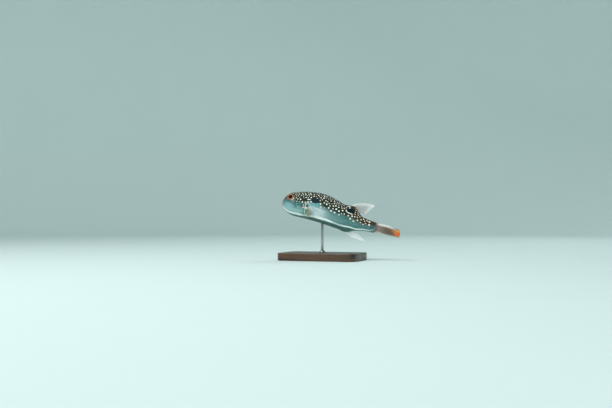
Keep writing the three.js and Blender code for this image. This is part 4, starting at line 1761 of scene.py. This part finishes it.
@dataclass
class Fin:
    """A thin fin of branching rays in a web; a subclass gives its middle surface."""

    name: str
    form: BodyForm
    pose: Pose
    rays: int
    root_thick: float = 1.1
    ray_thick: float = 0.24
    web_thick: float = 0.18
    scallop: float = 0.02
    per_ray: int = 14
    along: int = 64

    def middle(self, f: np.ndarray, g: np.ndarray) -> np.ndarray:
        """Gives the middle surface; each kind of fin has its own.

        Args:
            f: places across the rays.
            g: places from root to edge.

        Returns:
            Points of the straight fish in millimetres.
        """
        raise NotImplementedError

    def ray_share(self, f: np.ndarray, g: np.ndarray) -> np.ndarray:
        """Draws the rays, each of which splits in two, and again.

        Args:
            f: places across the rays.
            g: places from root to edge.

        Returns:
            1 on the middle of a ray, 0 on the web between.
        """
        aside = np.abs(f * self.rays % 1 - 0.5)
        first = np.abs(aside - 0.23 * smooth(g, 0.3, 0.75))
        second = np.abs(first - 0.115 * smooth(g, 0.62, 0.98))
        return bell(second, lerp(0.17, 0.075, np.clip(g, 0, 1)))

    def build(self) -> bpy.types.Object:
        """Shapes the fin and paints where each point lies on it.

        Returns:
            The fin.
        """
        bm = bmesh.new()
        bmesh.ops.create_grid(bm, x_segments=self.per_ray * self.rays, y_segments=self.along, size=0.5)
        bmesh.ops.solidify(bm, geom=bm.faces[:], thickness=1.0)
        flat = vertices_of(bm)
        f, g = np.clip(flat[:, 0] + 0.5, 0, 1), np.clip(flat[:, 1] + 0.5, 0, 1)
        sheet = np.where(np.abs(flat[:, 2]) > 0.5, 1.0, -1.0)
        ray = self.ray_share(f, g)
        reach = g * (1 - self.scallop * (1 - ray) * smooth(g, 0.8, 1.0))
        nudge = 1e-3
        over_f = self.middle(np.minimum(f + nudge, 1), reach) - self.middle(np.maximum(f - nudge, 0), reach)
        over_g = self.middle(f, reach + nudge) - self.middle(f, reach - nudge)
        out = unit(np.cross(over_f, over_g))
        thick = self.web_thick + self.ray_thick * ray * lerp(1.0, 0.35, g)
        thick = thick + self.root_thick * (1 - smooth(g, 0.02, 0.3))
        border = np.minimum(np.minimum(f, 1 - f) * 40, (1 - g) * 30)
        thick = thick * np.sqrt(np.clip(border, 0.12, 1))
        ripple = 0.12 * np.sin(2 * math.pi * f * self.rays) * smooth(g, 0.2, 0.9)
        point = self.middle(f, reach) + out * (sheet * thick / 2 + ripple)[:, None]
        place_vertices(bm, self.pose.swim(point))
        made = finished(bm, self.name)
        paint(made, "web", np.stack([f, g, ray], axis=-1))
        return made


@dataclass
class MedianFin(Fin):
    """A dorsal or anal fin; its places are shares of the body's length."""

    edge: Edge = Edge.BACK
    root: tuple[float, float] = (0.682, 0.795)
    tip: tuple[float, float] = (0.247, 0.078)
    corner: tuple[float, float] = (0.066, 0.012)
    hollow: float = 0.018
    bow: tuple[float, float] = (0.031, 0.002)
    lean: float = 0.9
    depth: float = 2.2

    def line(self, f: np.ndarray) -> np.ndarray:
        """Gives the root's line, a little inside the body.

        Args:
            f: places across the rays.

        Returns:
            Points of the straight fish in millimetres.
        """
        at = lerp(*self.root, f)
        back = self.edge is Edge.BACK
        lobe = self.form.dorsal_lobe if back else self.form.anal_lobe
        level = self.form.station("back" if back else "belly", at)
        z = level + self.edge.value * (lobe.rise(at, 0.0) - self.depth)
        return np.stack([at * self.form.length, 0 * at, z], axis=-1)

    def middle(self, f: np.ndarray, g: np.ndarray) -> np.ndarray:
        """Gives the middle surface.

        Args:
            f: places across the rays.
            g: places from root to edge.

        Returns:
            Points of the straight fish in millimetres.
        """
        side, length = self.edge.value, self.form.length
        first, last = self.line(np.array([0.0, 1.0]))
        tip = first + np.array([self.tip[0], 0, side * self.tip[1]]) * length
        corner = last + np.array([self.corner[0], 0, side * self.corner[1]]) * length
        inside = (tip + corner) / 2 - np.array([self.hollow, 0, side * self.hollow]) * length
        f, g = f[:, None], g[:, None]
        rim = (1 - f) ** 2 * tip + 2 * f * (1 - f) * inside + f**2 * corner
        start = self.line(f[:, 0])
        along = unit(rim - start)
        bow = lerp(*self.bow, np.sqrt(f)) * length * 4 * g * (1 - g)
        wave = 0.5 * np.sin(3.2 * f + 2 * g)
        sway = self.lean * np.sin(0.7 * math.pi * g) + wave
        off = np.concatenate([-side * along[:, 2:] * bow, sway * g, side * along[:, :1] * bow], axis=1)
        return start + (rim - start) * g + off


@dataclass
class TailFin(Fin):
    """The tail fin, half folded, its end nearly straight."""

    start: float = 0.985
    reach: float = 0.245
    halves: tuple[float, float, float] = (0.044, 0.051, 0.04)
    round_off: float = 0.05
    slant: float = 0.03
    wave: float = 0.9
    drop: float = 0.15

    def middle(self, f: np.ndarray, g: np.ndarray) -> np.ndarray:
        """Gives the middle surface.

        Args:
            f: places across the rays.
            g: places from root to edge.

        Returns:
            Points of the straight fish in millimetres.
        """
        length, across = self.form.length, 2 * f - 1
        root, middle, edge = self.halves
        spread = np.where(
            g < 0.5,
            lerp(root, middle, smooth(g * 2, 0, 1)),
            lerp(middle, edge, smooth(g * 2 - 1, 0, 1)),
        )
        reach = self.reach * (1 - self.round_off * np.abs(across) ** 3 - self.slant * across)
        x = (self.start + reach * g) * length
        y = self.wave * np.sin(2.4 * across) * g
        return np.stack([x, y, spread * across * length - self.drop], axis=-1)


@dataclass
class PectoralFin(Fin):
    """A pectoral fin, spread and held away from the flank."""

    side: Side = Side.LEFT
    top: tuple[float, float] = (0.308, 0.004)
    bottom: tuple[float, float] = (0.324, -0.054)
    reach: float = 0.15
    depth: float = 1.6
    rim: tuple[float, float] = (0.2, 0.86)
    shorten: float = 0.3
    spread: tuple[float, float] = (0.0, -34.0)
    out: float = 36.0
    cup: float = 9.0
    flare: float = 0.35

    def line(self, f: np.ndarray) -> np.ndarray:
        """Gives the root's line, a little inside the body, on the right side.

        Args:
            f: places across the rays.

        Returns:
            Points of the straight fish in millimetres.
        """
        form = self.form
        at = lerp(self.top[0], self.bottom[0], f)
        z = lerp(self.top[1], self.bottom[1], f) * form.length
        widest = form.station("widest", at)
        reach = np.where(z > widest, form.station("back", at) - widest, widest - form.station("belly", at))
        power = form.squareness(at)
        y = form.station("half", at) * (1 - (np.abs(z - widest) / reach) ** power) ** (1 / power)
        return np.stack([at * form.length, y - self.depth, z], axis=-1)

    def middle(self, f: np.ndarray, g: np.ndarray) -> np.ndarray:
        """Gives the middle surface.

        Args:
            f: places across the rays.
            g: places from root to edge.

        Returns:
            Points of the straight fish in millimetres.
        """
        shape = np.sin(math.pi * lerp(*self.rim, f)) ** 0.6
        length = self.reach * self.form.length * shape * (1 - self.shorten * f)
        angle = np.radians(lerp(*self.spread, f))
        out = np.radians(self.out + self.cup * g)
        along, rise = length * g * np.cos(angle), length * g * np.sin(angle)
        aside = (along + self.flare * np.abs(rise)) * np.sin(out)
        point = self.line(f) + np.stack([along * np.cos(out), aside, rise], axis=-1)
        return point * np.array([1.0, self.side.value, 1.0])


# ---- The stand ----


@dataclass
class Stand:
    """A walnut base with a routed line, a steel rod up to the belly and a collar at its foot."""

    corner: float = 8.0 * MM
    edge: float = 1.0 * MM
    line_inset: float = 5.0 * MM
    line_width: float = 0.7 * MM
    chamfer: float = 0.25 * MM

    def base(self) -> bpy.types.Object:
        """Makes the base, its corners rounded, its edges eased and a line routed in its top.

        Returns:
            The base.
        """
        low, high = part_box("stand_base")
        size = high - low
        bm = bmesh.new()
        bmesh.ops.create_cube(bm, size=1.0)
        bmesh.ops.scale(bm, vec=size, verts=bm.verts[:])
        bmesh.ops.translate(bm, vec=(low + high) / 2, verts=bm.verts[:])
        upright = [e for e in bm.edges if abs(e.verts[0].co.z - e.verts[1].co.z) > size.z / 2]
        ease(bm, upright, self.corner, 10)
        bm.normal_update()
        flat = [f for f in bm.faces if abs(f.normal.z) > 0.9]
        ease(bm, list({e for f in flat for e in f.edges}), self.edge, 4)
        bm.normal_update()
        top = [max(bm.faces, key=lambda f: (f.normal.z > 0.9) * f.calc_area())]
        half = self.line_width / 2
        for inset, depth in ((self.line_inset, 0.0), (half, -half), (half, half)):
            bmesh.ops.inset_region(bm, faces=top, thickness=inset, depth=depth, use_even_offset=True)
        return finished(bm, "base_board", sharp=True)

    def rod(self) -> bpy.types.Object:
        """Makes the rod, its ends chamfered.

        Returns:
            The rod.
        """
        low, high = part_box("stand_rod")
        radius = (high.x - low.x) / 2
        bm = bmesh.new()
        bmesh.ops.create_cone(
            bm, cap_ends=True, segments=48, radius1=radius, radius2=radius, depth=high.z - low.z
        )
        bmesh.ops.translate(bm, vec=(low + high) / 2, verts=bm.verts[:])
        ends = [e for e in bm.edges if abs(e.verts[0].co.z - e.verts[1].co.z) < 1e-6]
        ease(bm, ends, self.chamfer, 2)
        return finished(bm, "support_rod", sharp=True)

    def collar(self) -> bpy.types.Object:
        """Turns the collar: a foot, a hollow and a bead round the rod.

        Returns:
            The collar.
        """
        low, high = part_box("stand_collar")
        middle, radius, tall = (low + high) / 2, (high.x - low.x) / 2, high.z - low.z
        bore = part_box("stand_rod")[1].x
        outline = [(0.98, 0.0), (1.0, 0.08), (1.0, 0.3), (0.97, 0.38)]
        outline += [
            (lerp(0.72, 0.97, 1 - math.sin(a)), lerp(0.38, 0.66, 1 - math.cos(a)))
            for a in np.linspace(0.15, 1.45, 6)
        ]
        outline += [(0.66 + 0.1 * math.sin(a), 0.84 - 0.16 * math.cos(a)) for a in np.linspace(0.5, 2.9, 9)]
        rim = [(r * radius, low.z + h * tall) for r, h in outline]
        bm = turned([(bore, low.z), *rim, (bore, high.z)], steps=72, closed=True)
        bmesh.ops.translate(bm, vec=(middle.x, middle.y, 0), verts=bm.verts[:])
        bmesh.ops.remove_doubles(bm, verts=bm.verts[:], dist=1e-7)
        return finished(bm, "rod_collar", sharp=True)

    def build(self, effects: Effects) -> None:
        """Makes the three pieces and dresses them.

        Args:
            effects: the shared shader groups.
        """
        wood = WoodFinish().material(effects)
        along = SteelFinish("steel_rod", "#c9cac6", "#9b9d9b", (2600.0, 2600.0, 60.0)).material(effects)
        round_it = SteelFinish("steel_collar", "#c2c1ba", "#94938c", (60.0, 60.0, 5200.0)).material(effects)
        dress(self.base(), wood, Slot.WOOD, "stand_base")
        dress(self.rod(), along, Slot.METAL, "stand_rod")
        dress(self.collar(), round_it, Slot.METAL, "stand_collar")


# ---- The studio ----


@dataclass(frozen=True)
class Lamp:
    """A soft square light that looks at the fish."""

    name: str
    place: tuple[float, float, float]
    size: float
    power: float
    colour: tuple[float, float, float]
    glossy: bool = True


@dataclass
class Studio:
    """A pale floor that curves up all round, soft lights and the camera."""

    flat: float = 1.4
    curve: float = 0.5
    wall: float = 1.9
    target: tuple[float, float, float] = (0.015, 0.004, 0.052)
    azimuth: float = 19.0
    distance: float = 1.0
    aim_right: float = -0.03465
    aim_up: float = 0.0142
    lens: float = 50.0
    sensor: float = 36.0
    room_colour: tuple[float, float, float] = (0.93, 0.98, 1.0)
    room_light: float = 0.3
    lamps: tuple[Lamp, ...] = (
        Lamp("key", (-0.3, -0.75, 1.1), 0.7, 11.5, (1.0, 1.0, 0.99)),
        Lamp("fill", (0.6, -1.3, 0.35), 1.0, 3.5, (0.93, 0.99, 1.0), glossy=False),
        Lamp("back", (0.4, 0.95, 1.1), 0.8, 5.0, (0.94, 0.99, 1.0), glossy=False),
    )

    def floor(self, effects: Effects) -> None:
        """Makes the floor and the wall, one sheet turned about the middle.

        Args:
            effects: the shared shader groups.
        """
        arc = [
            (self.flat + self.curve * math.sin(a), self.curve * (1 - math.cos(a)))
            for a in np.linspace(0, math.pi / 2, 12)
        ]
        bm = turned([(0, 0), *arc, (arc[-1][0], self.wall)], steps=96, closed=False)
        bmesh.ops.remove_doubles(bm, verts=bm.verts[:], dist=1e-6)
        bmesh.ops.recalc_face_normals(bm, faces=bm.faces[:])
        sheet = smooth_object(bm, "floor_sheet")
        sheet.data.materials.append(FloorFinish().material(effects))

    def look(self, made: bpy.types.Object, target: Vector) -> None:
        """Turns a light or a camera to look at a point."""
        made.rotation_euler = (target - made.location).to_track_quat("-Z", "Y").to_euler()

    def lights(self) -> None:
        """The lamps and the even light of the room."""
        for lamp in self.lamps:
            data = bpy.data.lights.new(lamp.name, "AREA")
            data.size, data.energy, data.color = lamp.size, lamp.power, lamp.colour
            made = linked(lamp.name, data)
            made.location = lamp.place
            made.visible_camera, made.visible_glossy = False, lamp.glossy
            self.look(made, Vector(self.target))
        world = bpy.data.worlds.new("room")
        world.use_nodes = True
        background = world.node_tree.nodes["Background"]
        background.inputs["Color"].default_value = (*self.room_colour, 1.0)
        background.inputs["Strength"].default_value = self.room_light
        bpy.context.scene.world = world
        bpy.context.scene.view_settings.view_transform = "Standard"

    def camera(self) -> None:
        """The camera, level with the fish and a little to its tail side."""
        turn = math.radians(self.azimuth)
        right = Vector((math.cos(turn), math.sin(turn), 0))
        made = linked("camera", bpy.data.cameras.new("camera"))
        made.data.lens, made.data.sensor_width = self.lens, self.sensor
        made.data.clip_start, made.data.clip_end = 0.01, 20.0
        target = Vector(self.target)
        made.location = target + Vector((math.sin(turn), -math.cos(turn), 0)) * self.distance
        self.look(made, target + right * self.aim_right + Vector((0, 0, self.aim_up)))
        bpy.context.scene.camera = made


# ---- The whole ----


@dataclass
class Puffer:
    """The fish: skin, eyes and fins."""

    form: BodyForm = BodyForm()
    pose: Pose = Pose()

    def skin(self, effects: Effects) -> None:
        """Makes the skin over all the flesh.

        Args:
            effects: the shared shader groups.
        """
        made = Skin(self.form, self.pose).build()
        finish = SkinFinish().material(effects)
        dress(made, finish, Slot.SKIN, "head", "trunk", "tail_stalk", "lip_upper", "lip_lower")

    def eyes(self) -> None:
        """Makes both eyes."""
        finish = EyeFinish().material()
        for side in Side:
            made = Eye(self.form, self.pose, side).build()
            dress(made, finish, Slot.EYE, f"eye_{side.name.lower()}")

    def fins(self, effects: Effects) -> None:
        """Makes the dorsal, anal, tail and pectoral fins.

        Args:
            effects: the shared shader groups.
        """
        form, pose = self.form, self.pose
        dorsal = MedianFin("dorsal_web", form, pose, rays=12)
        anal = MedianFin(
            "anal_web", form, pose, rays=10, edge=Edge.BELLY, root=(0.67, 0.765), tip=(0.258, 0.049),
            corner=(0.09, 0.026), hollow=0.012, bow=(0.026, 0.002), lean=-0.9,
        )
        tail = TailFin("tail_web", form, pose, rays=10, web_thick=0.2, ray_thick=0.42)
        dorsal_finish = FinFinish(
            "dorsal_fin", root="#93978c", web="#adb3b0", edge="#eef0ee", ray="#e6e2e0", streak="#8d7f88",
            clear=0.6, rays=12, front="#f4f8f4", front_share=0.7,
        )
        anal_finish = FinFinish(
            "anal_fin", root="#d6e0dc", web="#e6ebf0", edge="#e9f2f6", ray="#f6fafb", streak="#c9b6cf",
            clear=0.95, rays=10, front="#f8fdfd", front_share=0.8,
        )
        tail_finish = TailFinFinish(
            "tail_fin", root="#8f8279", web="#84766c", edge="#cfdedb", ray="#b09a88", streak="#5f5044",
            clear=0.88, rays=10, front="#fbf1ee", coat=0.06, specular=0.2,
        )
        pectoral_finish = FinFinish(
            "pectoral_fin", root="#aaa48c", web="#8f9a66", edge="#bfae78", ray="#a5a878", streak="#6f8068",
            clear=0.45, rays=12, front="#a5c0bb", front_share=0.85, front_clear=0.3, ray_clear=0.5,
        )
        dress(dorsal.build(), dorsal_finish.material(effects), Slot.FIN, "dorsal_fin")
        dress(anal.build(), anal_finish.material(effects), Slot.FIN, "anal_fin")
        dress(tail.build(), tail_finish.material(effects), Slot.TAIL_FIN, "tail_fin")
        material = pectoral_finish.material(effects)
        for side in Side:
            name = side.name.lower()
            made = PectoralFin(f"pectoral_web_{name}", form, pose, rays=12, side=side).build()
            dress(made, material, Slot.FIN, f"pectoral_fin_{name}")

    def build(self, effects: Effects) -> None:
        """Makes all of the fish.

        Args:
            effects: the shared shader groups.
        """
        self.skin(effects)
        self.eyes()
        self.fins(effects)


def main() -> None:
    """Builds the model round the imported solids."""
    logging.basicConfig(level=logging.INFO, format="%(message)s")
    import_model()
    effects = Effects()
    Puffer().build(effects)
    Stand().build(effects)
    studio = Studio()
    studio.floor(effects)
    studio.lights()
    studio.camera()


if __name__ == "__main__":
    main()
